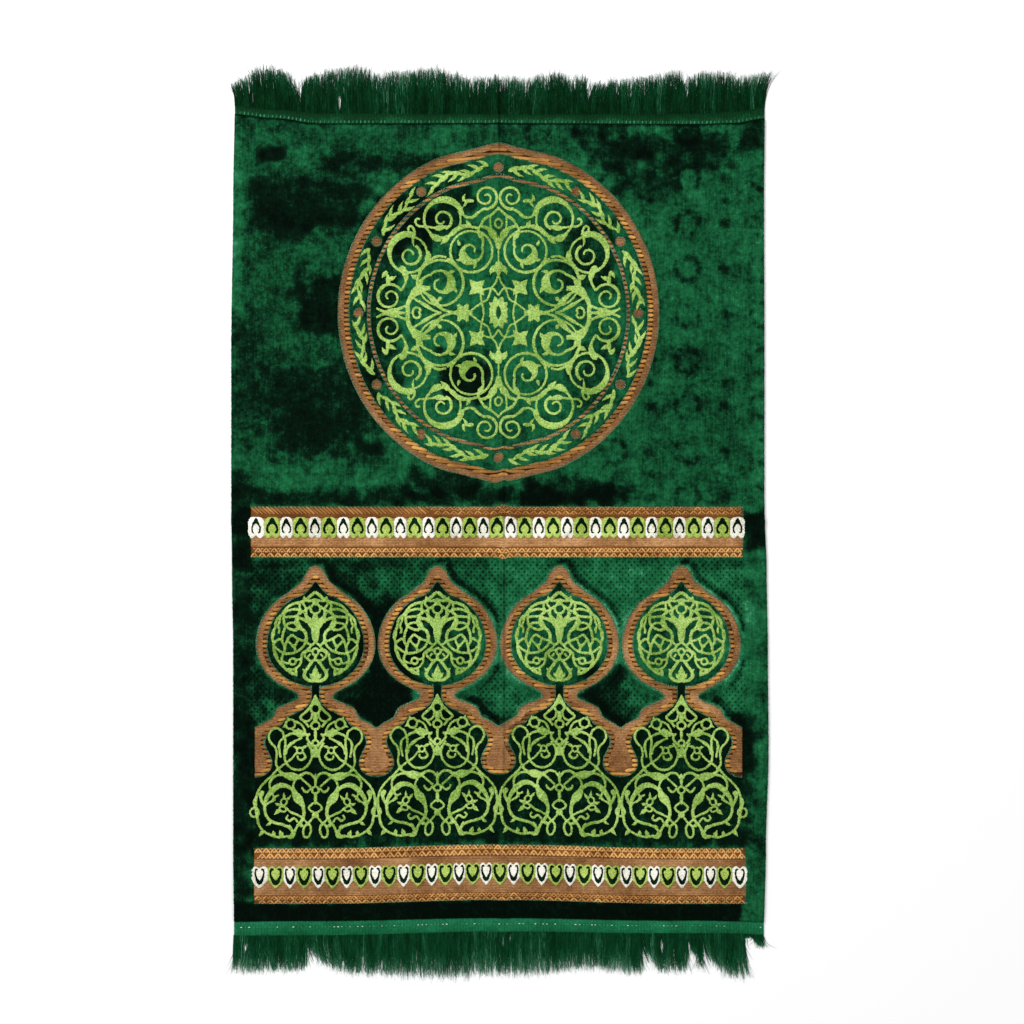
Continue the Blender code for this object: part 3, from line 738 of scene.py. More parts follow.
PALMETTE = [
    Bud(0, 79.2, 1.7, 4.6, 0),
    Stem(2.4, [(0, 82), (2.6, 76.4), (5.6, 70.8), (10, 66.4), (15, 61), (10.6, 56.6),
               (6.4, 51.4)], 0.6, 0.3),
    Loop(0, 69.8, 4.6, 4.8, 0, 2.2),
    Bud(0, 61, 2.4, 4.6, 0),
    Stem(2.0, [(3.2, 66.4), (4, 60.4), (7.4, 57.4), (11.6, 57.4)]),
    Loop(0, 53, 4.2, 4.0, 0, 2.2),
    Bud(0, 44.4, 1.4, 6.6, 0),
    Loop(0, 35.4, 3.2, 3.0, 0, 2.1),
    Leaf(0, 21, 90, 12, 8.4),
    Leaf(0.6, 27, 6, 5.6, 4.0, 40),
    # the square bud on its stem, and the oval beside it
    Loop(25, 54.4, 4.8, 4.8, 45, 2.2),
    Leaf(26.4, 57.4, 66, 5, 2.6), Leaf(29, 53, -20, 4.6, 2.6, -30),
    Stem(2.1, [(20.6, 57), (14.6, 54.4), (11, 48.6), (10.2, 43)]),
    Stem(2.1, [(16.4, 50), (20, 47.6), (24, 49.6)]),
    Stem(2.4, [(6.4, 43.4), (13, 44.4), (20, 45.6), (27, 43.6), (31.6, 40.6)], 5.4, 0.35),
    Stem(2.2, [(31.4, 40.4), (32.8, 46.4), (38.4, 50.2), (44.2, 47.8), (46.8, 41.6), (44.4, 35.6),
               (40.2, 31), (38.6, 25), (39.4, 18), (38.6, 12.4), (35, 9.4)]),
    Stem(2.0, [(31.4, 40.4), (35.2, 37.6), (36.6, 32.2), (35.8, 26.4), (34.6, 20.6)], 0.6),
    # the round scroll with a flower in it
    Stem(2.3, [(8.4, 35.6), (4.4, 29.4), (3.6, 22), (7.6, 13.4), (15, 8.8), (23.6, 10),
               (29.6, 16.4), (31, 25), (30, 34), (30.4, 42)]),
    Stem(2.0, [(5.4, 45), (8.4, 40), (4.4, 34.6), (2, 31)], 0.6),
    Stem(2.0, [(13.4, 40.6), (21, 37), (27.4, 31.6), (29.6, 24)], 1.4),
    Loop(15.6, 28, 3.0, 3.0, 45, 1.9),
    Leaf(13, 30.6, 150, 6.6, 3.0, 30), Leaf(18, 30, 36, 5, 2.8, -40),
    Leaf(17.6, 26, -34, 4, 3.0, 20),
    Stem(1.9, [(12.4, 26), (10, 21.6), (13.4, 18.6), (17.4, 19.8), (18, 23)], 0.8, 0.4),
    Stem(2.0, [(19.6, 25), (24, 19.6), (30, 15.4), (35.6, 11)]),
    # the broad leaf under it
    Stem(2.4, [(38.6, 10.4), (32.6, 4.6), (25.6, 2.4), (17.4, 1.6), (10.6, 5.4), (4.4, 4.4),
               (1, 0)], 5.8, 0.4),
]
FOOT = [
    Bud(0, -1.6, 1.5, 6.6, 0),
    Stem(2.1, [(15.6, 1.4), (10, -3.6), (4.4, -8.6)]),
    Stem(1.9, [(4.4, -9.6), (8.4, -13.6), (12, -11.6), (13.4, -8.6)], 0.8, 0.6),
    Loop(0, -11.6, 3.6, 3.4, 0, 2.1),
    Bud(0, -20, 1.7, 6.6, 0),
    Stem(2.0, [(0.6, -23.6), (4.4, -26.4), (6.6, -29.6), (4.4, -32.4), (1, -34)]),
    Bud(0, -36.4, 3.4, 3.2, 0),
    Stem(2.0, [(2, -38.4), (5.4, -43), (8.4, -45.6)]),
    Stem(2.0, [(8, -45), (11, -41.6), (13.6, -38.6)]),
    Loop(8.4, -52.4, 3.8, 6.8, 9, 2.2),
    # the great round scroll
    Stem(2.2, [(37.6, 9.6), (43.4, 3), (50.4, -3.4), (56.2, -10.6), (59.2, -19), (59.6, -28),
               (58.2, -38), (56.6, -46), (52.4, -52), (45, -56.6), (36, -58.8), (28, -57.4)], 0.6),
    Stem(2.1, [(15.4, 2), (19.6, -1.4), (22, -6), (22.4, -11)]),
    Stem(2.1, [(28, 2.6), (35, 3.6), (41.4, 1.6), (45.4, -3.4), (45.4, -10), (43.4, -14.6)], 0.4),
    Stem(3.2, [(22.6, -9), (19.6, -17), (13.6, -25.4), (11.4, -34), (13.4, -41.6),
               (18, -47.4)], 5.6, 0.28),
    Stem(2.8, [(21.6, -12.6), (28, -7.8), (35.6, -7), (42.6, -11.6), (48.4, -19),
               (50.8, -27), (49.8, -35.6), (45.4, -42), (39, -44.8), (32, -46.4),
               (25.6, -49.4), (22.4, -54)], 2.8, 0.25),
    Stem(2.4, [(13.6, -42), (18.6, -48.4), (21.4, -54), (24.4, -58.2), (30, -57.6)], 2.8, 0.7),
    Leaf(15.6, -46.6, 196, 5, 3.6), Leaf(33, -58, 60, 7, 4.6, 20), Leaf(42, -57, 96, 5, 4.0, -20),
    Leaf(52, -51.6, -58, 8, 3.8, 12), Leaf(44.6, -44, -40, 6, 3.0, 20), Leaf(24, -50.4, 60, 5, 3.0),
    Stem(1.9, [(17.6, -44), (21.4, -39.6), (26, -42.4), (29.2, -39.8), (27.2, -36.6)], 0.6),
    # the flower in it
    Loop(31.6, -23.4, 3.0, 3.6, 30, 1.9),
    Leaf(29, -22, 138, 7.6, 2.8, -20), Leaf(31, -20, 80, 6.4, 2.6, 10),
    Loop(32.6, -30.6, 3.6, 2.6, 20, 1.9),
    Leaf(35, -26, -10, 6, 3.0, 60), Leaf(36, -31, -52, 7.6, 4.2, 20),
    Stem(2.0, [(29.6, -29), (25, -33.4), (19.4, -35.8), (13.6, -38.8)], 0.4),
    Stem(1.9, [(36.4, -16.6), (40.4, -18.6), (43.2, -22.4), (47.4, -24.6), (50.6, -27.6)],
         0.8, 0.4),
    Stem(2.0, [(44.2, -13.6), (42, -17.6), (40.4, -22)]),
    Stem(2.8, [(52.6, -12.4), (54.8, -17.6), (53.4, -23), (50.6, -27.4)], 2.4, 0.2),
    Loop(61, -34, 4.4, 4.6, 0, 2.1),
    Leaf(60, -20, -80, 9, 4.0),
]
ARCH = ONION + PALMETTE + FOOT


# Shapes in the flat cloth ------------------------------------------------------------------------

def clamped(value):
    """A value, held between 0 and 1."""
    return min(max(value, 0.0), 1.0)


def smooth(part):
    """A part from 0 to 1 that starts and ends gently."""
    return part * part * (3 - 2 * part)


def read_table(rows, at, column):
    """Read a column between the rows of a table, eased so that its rows leave no corner."""
    if at <= rows[0][0]:
        return getattr(rows[0], column)
    for low, high in zip(rows, rows[1:]):
        if at <= high[0]:
            start = getattr(low, column)
            share = smooth((at - low[0]) / (high[0] - low[0]))
            return start + (getattr(high, column) - start) * share
    return getattr(rows[-1], column)


def soft_bump(distance, reach):
    """A round bump that is 1 in its middle and 0 from its reach outwards."""
    if abs(distance) >= reach:
        return 0.0
    return 0.5 + 0.5 * math.cos(math.pi * distance / reach)


def lay(across, along, height):
    """Where a point of the flat cloth lies on the floor, over the fold marks."""
    from_fold = across - read_table(LONG_FOLD, along, "at")
    long_fold = LONG_FOLD_LIFT * soft_bump(from_fold, LONG_FOLD_REACH)
    cross_fold = CROSS_FOLD_LIFT * soft_bump(along - CROSS_FOLD_AT, CROSS_FOLD_REACH)
    from_middle = (along - FOLD_PULL_MIDDLE) / FOLD_PULL_LENGTH
    pull = FOLD_PULL * math.exp(-(from_fold / FOLD_PULL_WIDTH) ** 2)
    pull *= math.tanh(FOLD_PULL_TURN * from_middle) * math.exp(-from_middle ** 2)
    bow = BOW_RISE * soft_bump(across, BOW_REACH)
    bow *= smooth(clamped((along - BOW_FROM) / (BOW_FULL - BOW_FROM)))
    return Vector((across, along + pull + bow, height + max(long_fold, cross_fold)))


def steps_between(start, end, spacing):
    """Evenly spaced places from start to end, no further apart than the spacing."""
    count = math.ceil(abs(end - start) / spacing)
    return [start + (end - start) * step / count for step in range(count + 1)]


def cloth_end(across, end):
    """Where the rug's own cloth ends, half a gap short of the seam with its tape."""
    inwards = -1 if end == "top" else 1
    return read_table(ENDS, across, end + "_seam") + inwards * SEAM_GAP / 2


def rug_outline(end_step, side_step):
    """The rug's edge between the two tapes, clockwise from its top left corner."""
    top = [(across, cloth_end(across, "top"))
           for across in steps_between(SIDES[-1].left, SIDES[-1].right, end_step)]
    bottom = [(across, cloth_end(across, "bottom"))
              for across in steps_between(SIDES[0].right, SIDES[0].left, end_step)]

    def side(start, end, name):
        return [(read_table(SIDES, along, name), along)
                for along in steps_between(start[1], end[1], side_step)[1:-1]]

    return top + side(top[-1], bottom[0], "right") + bottom + side(bottom[-1], top[0], "left")


def frame_shift():
    """From the rug's own middle to the frame, so that the cloth lies where its node is."""
    laid = [lay(across, along, 0) for across, along in rug_outline(CAD_END_STEP, CAD_SIDE_STEP)]
    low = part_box("rug_body")[0]
    return Vector((low.x / MM - min(point.x for point in laid),
                   low.y / MM - min(point.y for point in laid), 0))


def place(across, along, height):
    """A point of the flat cloth, in metres in the frame."""
    return (lay(across, along, height) + SHIFT) * MM


def medallion_ring(radii):
    """A closed oval round the medallion, with a small pointed tip at its top and bottom."""
    outline = []
    for step in range(RING_STEPS):
        angle = 2 * math.pi * step / RING_STEPS
        from_tip = abs(angle % math.pi - math.pi / 2)
        tip = TIP_RISE * soft_bump(from_tip, TIP_HALF_ANGLE)
        hollow = TIP_HOLLOW * soft_bump(from_tip - HOLLOW_MIDDLE, HOLLOW_HALF_ANGLE)
        stretch = 1 + (tip - hollow) / radii[1]
        outline.append((MEDALLION_ACROSS + radii[0] * stretch * math.cos(angle),
                        MEDALLION_ALONG + radii[1] * stretch * math.sin(angle)))
    return outline


def medallion_dots():
    """The outlines of the round dots between the medallion's two rings."""
    outlines = []
    for turn in DOT_TURNS:
        angle = math.radians(turn)
        across = MEDALLION_ACROSS + DOT_PATH[0] * math.cos(angle)
        along = MEDALLION_ALONG + DOT_PATH[1] * math.sin(angle)
        rim = [2 * math.pi * step / DOT_STEPS for step in range(DOT_STEPS)]
        outlines.append([(across + DOT_RADIUS * math.cos(turned),
                          along + DOT_RADIUS * math.sin(turned)) for turned in rim])
    return outlines


def onion_arc(radii, start, end):
    """Half of an onion's round side: half width, then its height above and below the middle."""
    points = []
    for step in range(ONION_STEPS + 1):
        angle = start + (end - start) * step / ONION_STEPS
        height = radii[1] if angle > 0 else radii[2]
        points.append(Point(radii[0] * math.cos(angle), ONION_MIDDLE + height * math.sin(angle)))
    return points


def arch_edge(half):
    """The whole row's edge, from left to right, with each arch mirrored about its middle."""
    edge = []
    for arch in range(ARCHES):
        middle = arch_middle(arch)
        edge += [(middle - point.across, ARCH_FOOT + point.up) for point in reversed(half[1:])]
        edge += [(middle + point.across, ARCH_FOOT + point.up) for point in half[:-1]]
    edge.append((middle + half[-1].across, ARCH_FOOT + half[-1].up))
    return smooth_path(edge, EDGE_STEP)


def arch_middle(arch):
    """Where across the rug an arch has its middle."""
    return ARCHES_MIDDLE + (arch - (ARCHES - 1) / 2) * ARCH_PITCH


def off_arch(across):
    """How far to the right of the nearest arch's middle a place is."""
    return min((across - arch_middle(arch) for arch in range(ARCHES)), key=abs)


def arch_edges():
    """The outer and the inner edge of the woven row of arches."""
    outer_arc = onion_arc(ONION_OUTER, OUTER_ARC_FROM, OUTER_ARC_TO)
    inner_arc = onion_arc(ONION_INNER, INNER_ARC_FROM, INNER_ARC_TO)
    return (arch_edge(OUTER_TIP + outer_arc + OUTER_SHOULDER),
            arch_edge(INNER_TIP + inner_arc + INNER_DOME))


def petal_edge(band, petal):
    """Where a petal begins. The row is a little uneven, but keeps its ends."""
    edge = band.petals_left + (band.petals_right - band.petals_left) * petal / PETALS
    return edge + (read_table(PETAL_SHIFTS, edge, "off") if 0 < petal < PETALS else 0.0)


def petal_outline(band, petal, upper):
    """One petal. The upper band's are round above and have two lobes below, and the lower
    band's have two lobes above and a point below."""
    left, right = petal_edge(band, petal), petal_edge(band, petal + 1)
    slim = WHITE_PETAL_SLIM if petal % 2 == 0 else -WHITE_PETAL_SLIM
    if petal > 0:
        left += slim
    if petal < PETALS - 1:
        right -= slim
    depth = band.petal_top - band.petal_bottom
    top_edge, bottom_edge = [], []
    for step in range(PETAL_STEPS + 1):
        part = step / PETAL_STEPS
        across = left + (right - left) * part
        lobes = (0.5 + 0.5 * math.cos(4 * math.pi * part)) ** PETAL_LOBE_POWER
        off = abs(2 * part - 1)
        if upper:
            high = band.petal_top - depth * PETAL_ROUND * off ** PETAL_ROUND_POWER
            low = band.petal_bottom + depth * (PETAL_LOBE_START + PETAL_LOBE_UPPER * lobes)
        else:
            high = band.petal_top - depth * (PETAL_LOBE_START + PETAL_LOBE_LOWER * lobes)
            low = band.petal_bottom + depth * PETAL_POINT * off ** PETAL_POINT_POWER
        top_edge.append((across, high))
        bottom_edge.append((across, low))
    return top_edge[::-1] + bottom_edge


def petals(band, upper, first):
    """The outlines of every second petal of a band, from the first one given."""
    return [petal_outline(band, petal, upper) for petal in range(first, PETALS, 2)]


def opening(band):
    """The flat woven oblong of a band, which its petals stand on."""
    return [(band.left, band.bottom), (band.right, band.bottom),
            (band.right, band.top), (band.left, band.top)]


def smooth_path(points, step=1.0):
    """A smooth path through a few points."""
    path = []
    for span in range(len(points) - 1):
        near = [points[min(max(span + shift, 0), len(points) - 1)] for shift in (-1, 0, 1, 2)]
        steps = max(2, round(math.dist(near[1], near[2]) / step))
        for number in range(steps):
            part = number / steps
            path.append(tuple(
                0.5 * (2 * b + (c - a) * part + (2 * a - 5 * b + 4 * c - d) * part ** 2
                       + (3 * b - a - 3 * c + d) * part ** 3) for a, b, c, d in zip(*near)))
    path.append(points[-1])
    return path


def scroll_path(scroll):
    """A coil from its outside in."""
    steps = round(math.radians(abs(scroll.sweep)) * scroll.radius * COIL_STEPS)
    path = []
    for number in range(steps + 1):
        part = number / steps
        angle = math.radians(scroll.start + scroll.sweep * part ** COIL_TURNING)
        reach = scroll.radius * (1 - (1 - scroll.inner) * part ** COIL_CLOSING)
        path.append((scroll.across + reach * math.cos(angle),
                     scroll.up + reach * math.sin(angle)))
    return path


def leaf_path(leaf):
    """The vein of a leaf, from its root to its tip."""
    across, up = leaf.across, leaf.up
    path = [(across, up)]
    steps = max(LEAST_CORNERS, round(leaf.length))
    for number in range(steps):
        angle = math.radians(leaf.heading + leaf.curl * number / steps)
        across += leaf.length / steps * math.cos(angle)
        up += leaf.length / steps * math.sin(angle)
        path.append((across, up))
    return path


def oval(across, up, wide, tall, turn):
    """The outline of an oval."""
    steps = max(2 * LEAST_CORNERS, round((wide + tall) * OVAL_STEPS))
    turned = math.radians(turn)
    points = []
    for number in range(steps):
        angle = 2 * math.pi * number / steps
        x, y = wide * math.cos(angle), tall * math.sin(angle)
        points.append((across + x * math.cos(turned) - y * math.sin(turned),
                       up + x * math.sin(turned) + y * math.cos(turned)))
    return points


def edges_of(outline):
    """The edges round a closed outline."""
    return list(zip(outline, outline[1:] + outline[:1]))


def enclosed(outline):
    """The area inside an outline, which is negative where it runs clockwise."""
    return sum(a[0] * b[1] - b[0] * a[1] for a, b in edges_of(outline)) / 2


def runs_along(path):
    """How far along a path each of its points is."""
    runs = [0.0]
    for start, end in zip(path, path[1:]):
        runs.append(runs[-1] + math.dist(start, end))
    return runs


def ribbon(path, half_width):
    """Three-sided pieces along a path. half_width takes a place from 0 to 1 along it."""
    runs = runs_along(path)
    sides = []
    for number, (point, run) in enumerate(zip(path, runs)):
        before = path[max(number - 1, 0)]
        after = path[min(number + 1, len(path) - 1)]
        along = (after[0] - before[0], after[1] - before[1])
        size = math.hypot(*along) or 1.0
        half = half_width(run / runs[-1])
        offset = (-along[1] / size * half, along[0] / size * half)
        sides.append(((point[0] + offset[0], point[1] + offset[1]),
                      (point[0] - offset[0], point[1] - offset[1])))
    pieces = []
    for a, b in zip(sides, sides[1:]):
        pieces += [piece for piece in ([a[0], a[1], b[1]], [a[0], b[1], b[0]])
                   if abs(enclosed(piece)) > SLIVER * math.dist(piece[0], piece[2])]
    return pieces


def stroke_width(first, swell, last, at):
    """Half the width of a stroke that swells at one place."""
    return lambda part: (first + (last - first) * part ** 3
                         + swell * math.exp(-((part - at) / SWELL_LENGTH) ** 2)) / 2


def leaf_width(width):
    """Half the width of a leaf: narrow at its root, wide in its middle and pointed."""
    def half(part):
        fullness = math.sin(math.pi * min(part * LEAF_LENGTH + LEAF_ROOT, 1.0) ** LEAF_FULLNESS)
        return max(width / 2 * fullness, LEAF_TIP)

    return half


def draw(item):
    """The pieces that one entry of a chart is made of."""
    if isinstance(item, Scroll):
        return ribbon(scroll_path(item), stroke_width(item.width, item.swell, COIL_TIP, item.at))
    if isinstance(item, Stem):
        return ribbon(smooth_path(item.points),
                      stroke_width(item.width, item.swell, item.width, item.at))
    if isinstance(item, Leaf):
        return ribbon(leaf_path(item), leaf_width(item.width))
    if isinstance(item, Loop):
        rim = oval(item.across, item.up, item.wide, item.tall, item.turn)
        return ribbon(rim + rim[:2], stroke_width(item.width, 0, item.width, 0.5))
    return [oval(item.across, item.up, item.wide, item.tall, item.turn)]


def chart(items, middle, flips):
    """A chart's strokes in the cloth, repeated for each pair of flips across and along."""
    strokes = []
    for item in items:
        for piece in draw(item):
            for across, along in flips:
                strokes.append([(middle[0] + x * across * KNOT, middle[1] + y * along * KNOT)
                                for x, y in piece])
    return strokes


def ring_vines():
    """A leafy vine in each stretch of the medallion's ring between two dots."""
    strokes = []
    turns = DOT_TURNS + (DOT_TURNS[0] + 360,)
    for number, (start, end) in enumerate(zip(turns, turns[1:])):
        way = 1 if number % 2 else -1

        def spot(part, off):
            angle = math.radians(start + (end - start) * part)
            return ((VINE_PATH[0] / KNOT + off) * math.cos(angle),
                    (VINE_PATH[1] / KNOT + off) * math.sin(angle))

        def swing(part):
            return VINE_SWING * math.sin(4 * math.pi * part)

        places = [VINE_START + (1 - 2 * VINE_START) * step / VINE_STEPS
                  for step in range(VINE_STEPS + 1)]
        items = [VINE_STEM._replace(points=[spot(part, swing(part)) for part in places])]
        length = math.radians(end - start) * VINE_PATH[0] / KNOT * (1 - 2 * VINE_START)
        leaves = round(length / VINE_LEAF_PITCH)
        for leaf in range(leaves):
            part = VINE_START + (1 - 2 * VINE_START) * (leaf + VINE_FIRST_LEAF) / leaves
            if way < 0:
                part = 1 - part
            root = spot(part, swing(part))
            tilt = (1 if leaf % 2 else -1) * way
            heading = start + (end - start) * part + 90 * way + tilt * VINE_LEAF_TILT
            items.append(Leaf(*root, heading, VINE_LEAF, VINE_LEAF_WIDTH, -tilt * VINE_LEAF_CURL))
        strokes += chart(items, (MEDALLION_ACROSS, MEDALLION_ALONG), [(1, 1)])
    return strokes


# From outlines to pile ---------------------------------------------------------------------------

def meshed(outlines, inner_points, with_origins):
    """Triangles between and round outlines, with their middles. Also gives, for each point, the
    input points that it stands for."""
    points, joins = [], []
    for outline in outlines:
        first, count = len(points), len(outline)
        joins += [(first + number, first + (number + 1) % count) for number in range(count)]
        points += [Vector(point) for point in outline]
    points += [Vector(point) for point in inner_points]
    verts, _, tris, origins, _, _ = delaunay_2d_cdt(points, joins, [], 0, WELD, with_origins)
    middles = [(verts[a] + verts[b] + verts[c]) / 3 for a, b, c in tris]
    return verts, [tuple(tri) for tri in tris], middles, origins


def triangulated(outlines, inner_points):
    """Triangles inside closed outlines. An outline inside another one is a hole in it."""
    rows = {}
    for outline in outlines:
        for edge in edges_of(outline):
            low, high = sorted((edge[0][1], edge[1][1]))
            for row in range(math.floor(low), math.floor(high) + 1):
                rows.setdefault(row, []).append(edge)
    verts, tris, middles, origins = meshed(outlines, inner_points, True)
    kept = [tri for tri, middle in zip(tris, middles)
            if holds(rows.get(math.floor(middle.y), ()), middle)]
    return verts, kept, origins


def covered(strokes, inner_points=()):
    """Triangles of all that overlapping strokes cover."""
    cells = {}
    for stroke in strokes:
        edges = edges_of(stroke)
        left, right = (round(pick(point[0] for point in stroke) / CELL) for pick in (min, max))
        low, high = (round(pick(point[1] for point in stroke) / CELL) for pick in (min, max))
        for column in range(left, right + 1):
            for row in range(low, high + 1):
                cells.setdefault((column, row), []).append(edges)
    verts, tris, middles, _ = meshed(strokes, inner_points, False)
    kept = []
    for tri, middle in zip(tris, middles):
        near = cells.get((round(middle.x / CELL), round(middle.y / CELL)), ())
        if any(holds(edges, middle) for edges in near):
            kept.append(tri)
    return verts, kept


def holds(edges, spot):
    """Whether a place lies inside an outline, by its edges that the place is level with."""
    inside = False
    for a, b in edges:
        if (a[1] <= spot.y) != (b[1] <= spot.y):
            if a[0] + (b[0] - a[0]) * (spot.y - a[1]) / (b[1] - a[1]) > spot.x:
                inside = not inside
    return inside


def outlines_of(tris):
    """The closed outlines round a set of triangles, as lists of point numbers."""
    edges = {}
    for a, b, c in tris:
        for edge in ((a, b), (b, c), (c, a)):
            edges[edge] = True
    following = {}
    for start, end in edges:
        if (end, start) not in edges:
            following.setdefault(start, []).append(end)
    outlines = []
    while following:
        start = next(iter(following))
        outline = []
        here = start
        while True:
            outline.append(here)
            ends = following[here]
            onward = ends.pop()
            if not ends:
                del following[here]
            here = onward
            if here == start:
                break
        outlines.append(outline)
    return outlines


def woven_edge(outline, chance, jitter=EDGE_JITTER):
    """The outline again in even steps of about a knot, as ragged as cut pile. One that is too
    small to show comes back empty."""
    closed = list(outline) + [outline[0]]
    runs = runs_along(closed)
    count = round(runs[-1] / EDGE_STEP)
    if count < LEAST_CORNERS:
        return []
    ragged = []
    span = 0
    for number in range(count):
        run = runs[-1] * number / count
        while runs[span + 1] < run:
            span += 1
        part = (run - runs[span]) / ((runs[span + 1] - runs[span]) or 1.0)
        ragged.append(tuple(a + (b - a) * part + chance.uniform(-jitter, jitter)
                            for a, b in zip(closed[span], closed[span + 1])))
    return ragged


def joined(strokes, chance):
    """The outlines of overlapping strokes made into one."""
    verts, tris = covered(strokes)
    outlines = [woven_edge([verts[index] for index in outline], chance, jitter=MOTIF_JITTER)
                for outline in outlines_of(tris)]
    return [outline for outline in outlines if outline]


def grain_points(outlines, grain, chance):
    """Points inside the outlines in staggered rows, kept off the edges."""
    rows = {}
    near = set()
    row_step = grain * math.sqrt(3) / 2
    for outline in outlines:
        for start, end in edges_of(outline):
            near.add((round(start[0] / grain), round(start[1] / row_step)))
            low, high = sorted((start[1], end[1]))
            for row in range(math.ceil(low / row_step), math.floor(high / row_step) + 1):
                along = row * row_step
                if low <= along < high:
                    part = (along - start[1]) / (end[1] - start[1])
                    rows.setdefault(row, []).append(start[0] + (end[0] - start[0]) * part)
    points = []
    loose = grain * GRAIN_JITTER
    for row in sorted(rows):
        crossings = sorted(rows[row])
        stagger = grain / 2 if row % 2 else 0.0
        for left, right in zip(crossings[::2], crossings[1::2]):
            left += grain * GRAIN_INSET
            right -= grain * GRAIN_INSET
            for number in range(math.ceil((left - stagger) / grain),
                                math.floor((right - stagger) / grain) + 1):
                across = number * grain + stagger
                cell = (round(across / grain), row)
                if cell in near and (number + row) % GRAIN_KEPT:
                    continue
                points.append((across + chance.uniform(-loose, loose),
                               row * row_step + chance.uniform(-loose, loose)))
    return points


def drift(across, along, size, layer):
    """Smooth noise round zero, with lumps of a size across and along. Layers differ."""
    return noise.noise((across / size[0], along / size[1], layer))


def swell(across, along):
    """The soft unevenness that all of the pile shares."""
    return LUMP_HEIGHT * (drift(across, along, SLOW_LUMPS, 0)
                          + QUICK_SHARE * drift(across, along, QUICK_LUMPS, 7))


def in_arches(across, along):
    """Whether a place is inside an arch or in its woven edge."""
    up = along - ARCH_FOOT
    off = abs(off_arch(across))
    onion = math.hypot(off / (ONION_OUTER[0] + STIPPLE_OFF),
                       (up - ONION_MIDDLE) / (ONION_OUTER[1] + STIPPLE_OFF))
    tip = off < TIP_BOX.wide and TIP_BOX.low < up < TIP_BOX.high
    return onion < 1 or tip or up < read_table(SHOULDERS, off, "up")


def stippled(across, along):
    """Whether a place is in the figured ground between the arches."""
    return (UPPER_BAND.left - STIPPLE_WIDER < across < UPPER_BAND.right + STIPPLE_WIDER
            and ARCH_FOOT < along < UPPER_BAND.bottom - STIPPLE_WIDER
            and not in_arches(across, along))


def lit_edge(across, along, arch_off):
    """How much painted highlight the pile's loose edge has at a place, where its tips catch the
    light, along the arches and the bands.
    """
    beside = ARCH_PITCH / 2 - abs(off_arch(across))
    lit = soft_bump(arch_off, LIT_EDGE_REACH) * clamped(beside / LIT_EDGE_APART)
    for band in (UPPER_BAND, LOWER_BAND):
        if band.left < across < band.right and along > band.top - LIT_BAND_INSET:
            lit = max(lit, LIT_BAND_EDGE * soft_bump(along - band.top, LIT_EDGE_REACH))
    return lit


def painted_nap_shade(across, along, arch_off):
    """How light the green pile looks, from 0 to 1: painted sheen and shade by the way that it is
    brushed, and painted shadow in narrow places, beside the arches and at the top seam.
    """
    shade = NAP_MIDDLE
    for patch in NAP_PATCHES:
        inside = min(across - patch.left, patch.right - across,
                     along - patch.bottom, patch.top - along) / patch.soft
        wander = NAP_WANDER * drift(across, along, NAP_WANDER_SIZE, patch.soft)
        shade += patch.shade * smooth(clamped(inside + wander + 0.5))
    shade += NAP_CLOUD * drift(across, along, NAP_CLOUD_SIZE, 3)
    side = off_arch(across)
    for narrow in NARROWS:
        shade -= (NARROW_SHADOW * soft_bump(side, narrow.wide)
                  * soft_bump(along - ARCH_FOOT - narrow.up, narrow.tall))
    if side > 0 and stippled(across, along):
        shade -= EDGE_SHADOW * soft_bump(arch_off - EDGE_SHADOW_OFF, EDGE_SHADOW_REACH)
    seam = read_table(ENDS, across, "top_seam") - along
    shade -= SEAM_SHADOW * soft_bump(seam, SEAM_SHADOW_REACH)
    if along > UPPER_BAND.top:
        shade -= EMBOSS_SHADE * embossed(across, along)
    return clamped(shade)


def embossed(across, along):
    """The faint figure in the field, as strong as 1 where it is fresh and 0 where it is worn."""
    if math.hypot((across - MEDALLION_ACROSS) / RING_OUTER[0],
                  (along - MEDALLION_ALONG) / RING_OUTER[1]) < 1:
        return 0.0
    off, up = across - EMBOSS_START[0], along - EMBOSS_START[1]
    column = round(off / EMBOSS_ACROSS)
    row = 2 * round(up / (2 * EMBOSS_ALONG)) if column % 2 else round(up / EMBOSS_ALONG)
    away = math.hypot(off - column * EMBOSS_ACROSS, up - row * EMBOSS_ALONG)
    fresh = drift(across, along, EMBOSS_WEAR_SIZE, 13)
    if column % 2:
        figure = EMBOSS_RING_FRESH * soft_bump(away - EMBOSS_RING, EMBOSS_RING_WIDTH)
        fresh += drift(across, along, EMBOSS_BREAK_SIZE, 17)
    else:
        figure = soft_bump(away, EMBOSS_SPOT[row % 2])
    return figure * clamped(EMBOSS_WORN + fresh) * (1.0 if across > 0 else EMBOSS_LEFT)


def in_scene(name, data):
    """An object that holds this data, at the origin."""
    made = bpy.data.objects.new(name, data)
    bpy.context.scene.collection.objects.link(made)
    return made


def mesh_object(name, verts, faces, materials):
    """A smooth-shaded mesh object at the origin."""
    mesh = bpy.data.meshes.new(name)
    mesh.from_pydata(verts, [], faces)
    mesh.polygons.foreach_set("use_smooth", [True] * len(mesh.polygons))
    for material in materials:
        mesh.materials.append(material)
    return in_scene(name, mesh)


def add_values(piece, name, values):
    """A number or a vector for each point of a mesh, for its material or its tree to read."""
    if isinstance(values[0], tuple):
        layer = piece.data.attributes.new(name, "FLOAT_VECTOR", "POINT")
        layer.data.foreach_set("vector", [part for value in values for part in value])
    else:
        layer = piece.data.attributes.new(name, "FLOAT", "POINT")
        layer.data.foreach_set("value", values)


def used_in(tris):
    """The numbers of all points that triangles use, in order."""
    return sorted({index for tri in tris for index in tri})


def walls(rim, top, foot):
    """The faces down the side under a rim, from its points' numbers at the top and at the foot."""
    return [(top[end], top[start], foot[start], foot[end]) for start, end in edges_of(rim)]


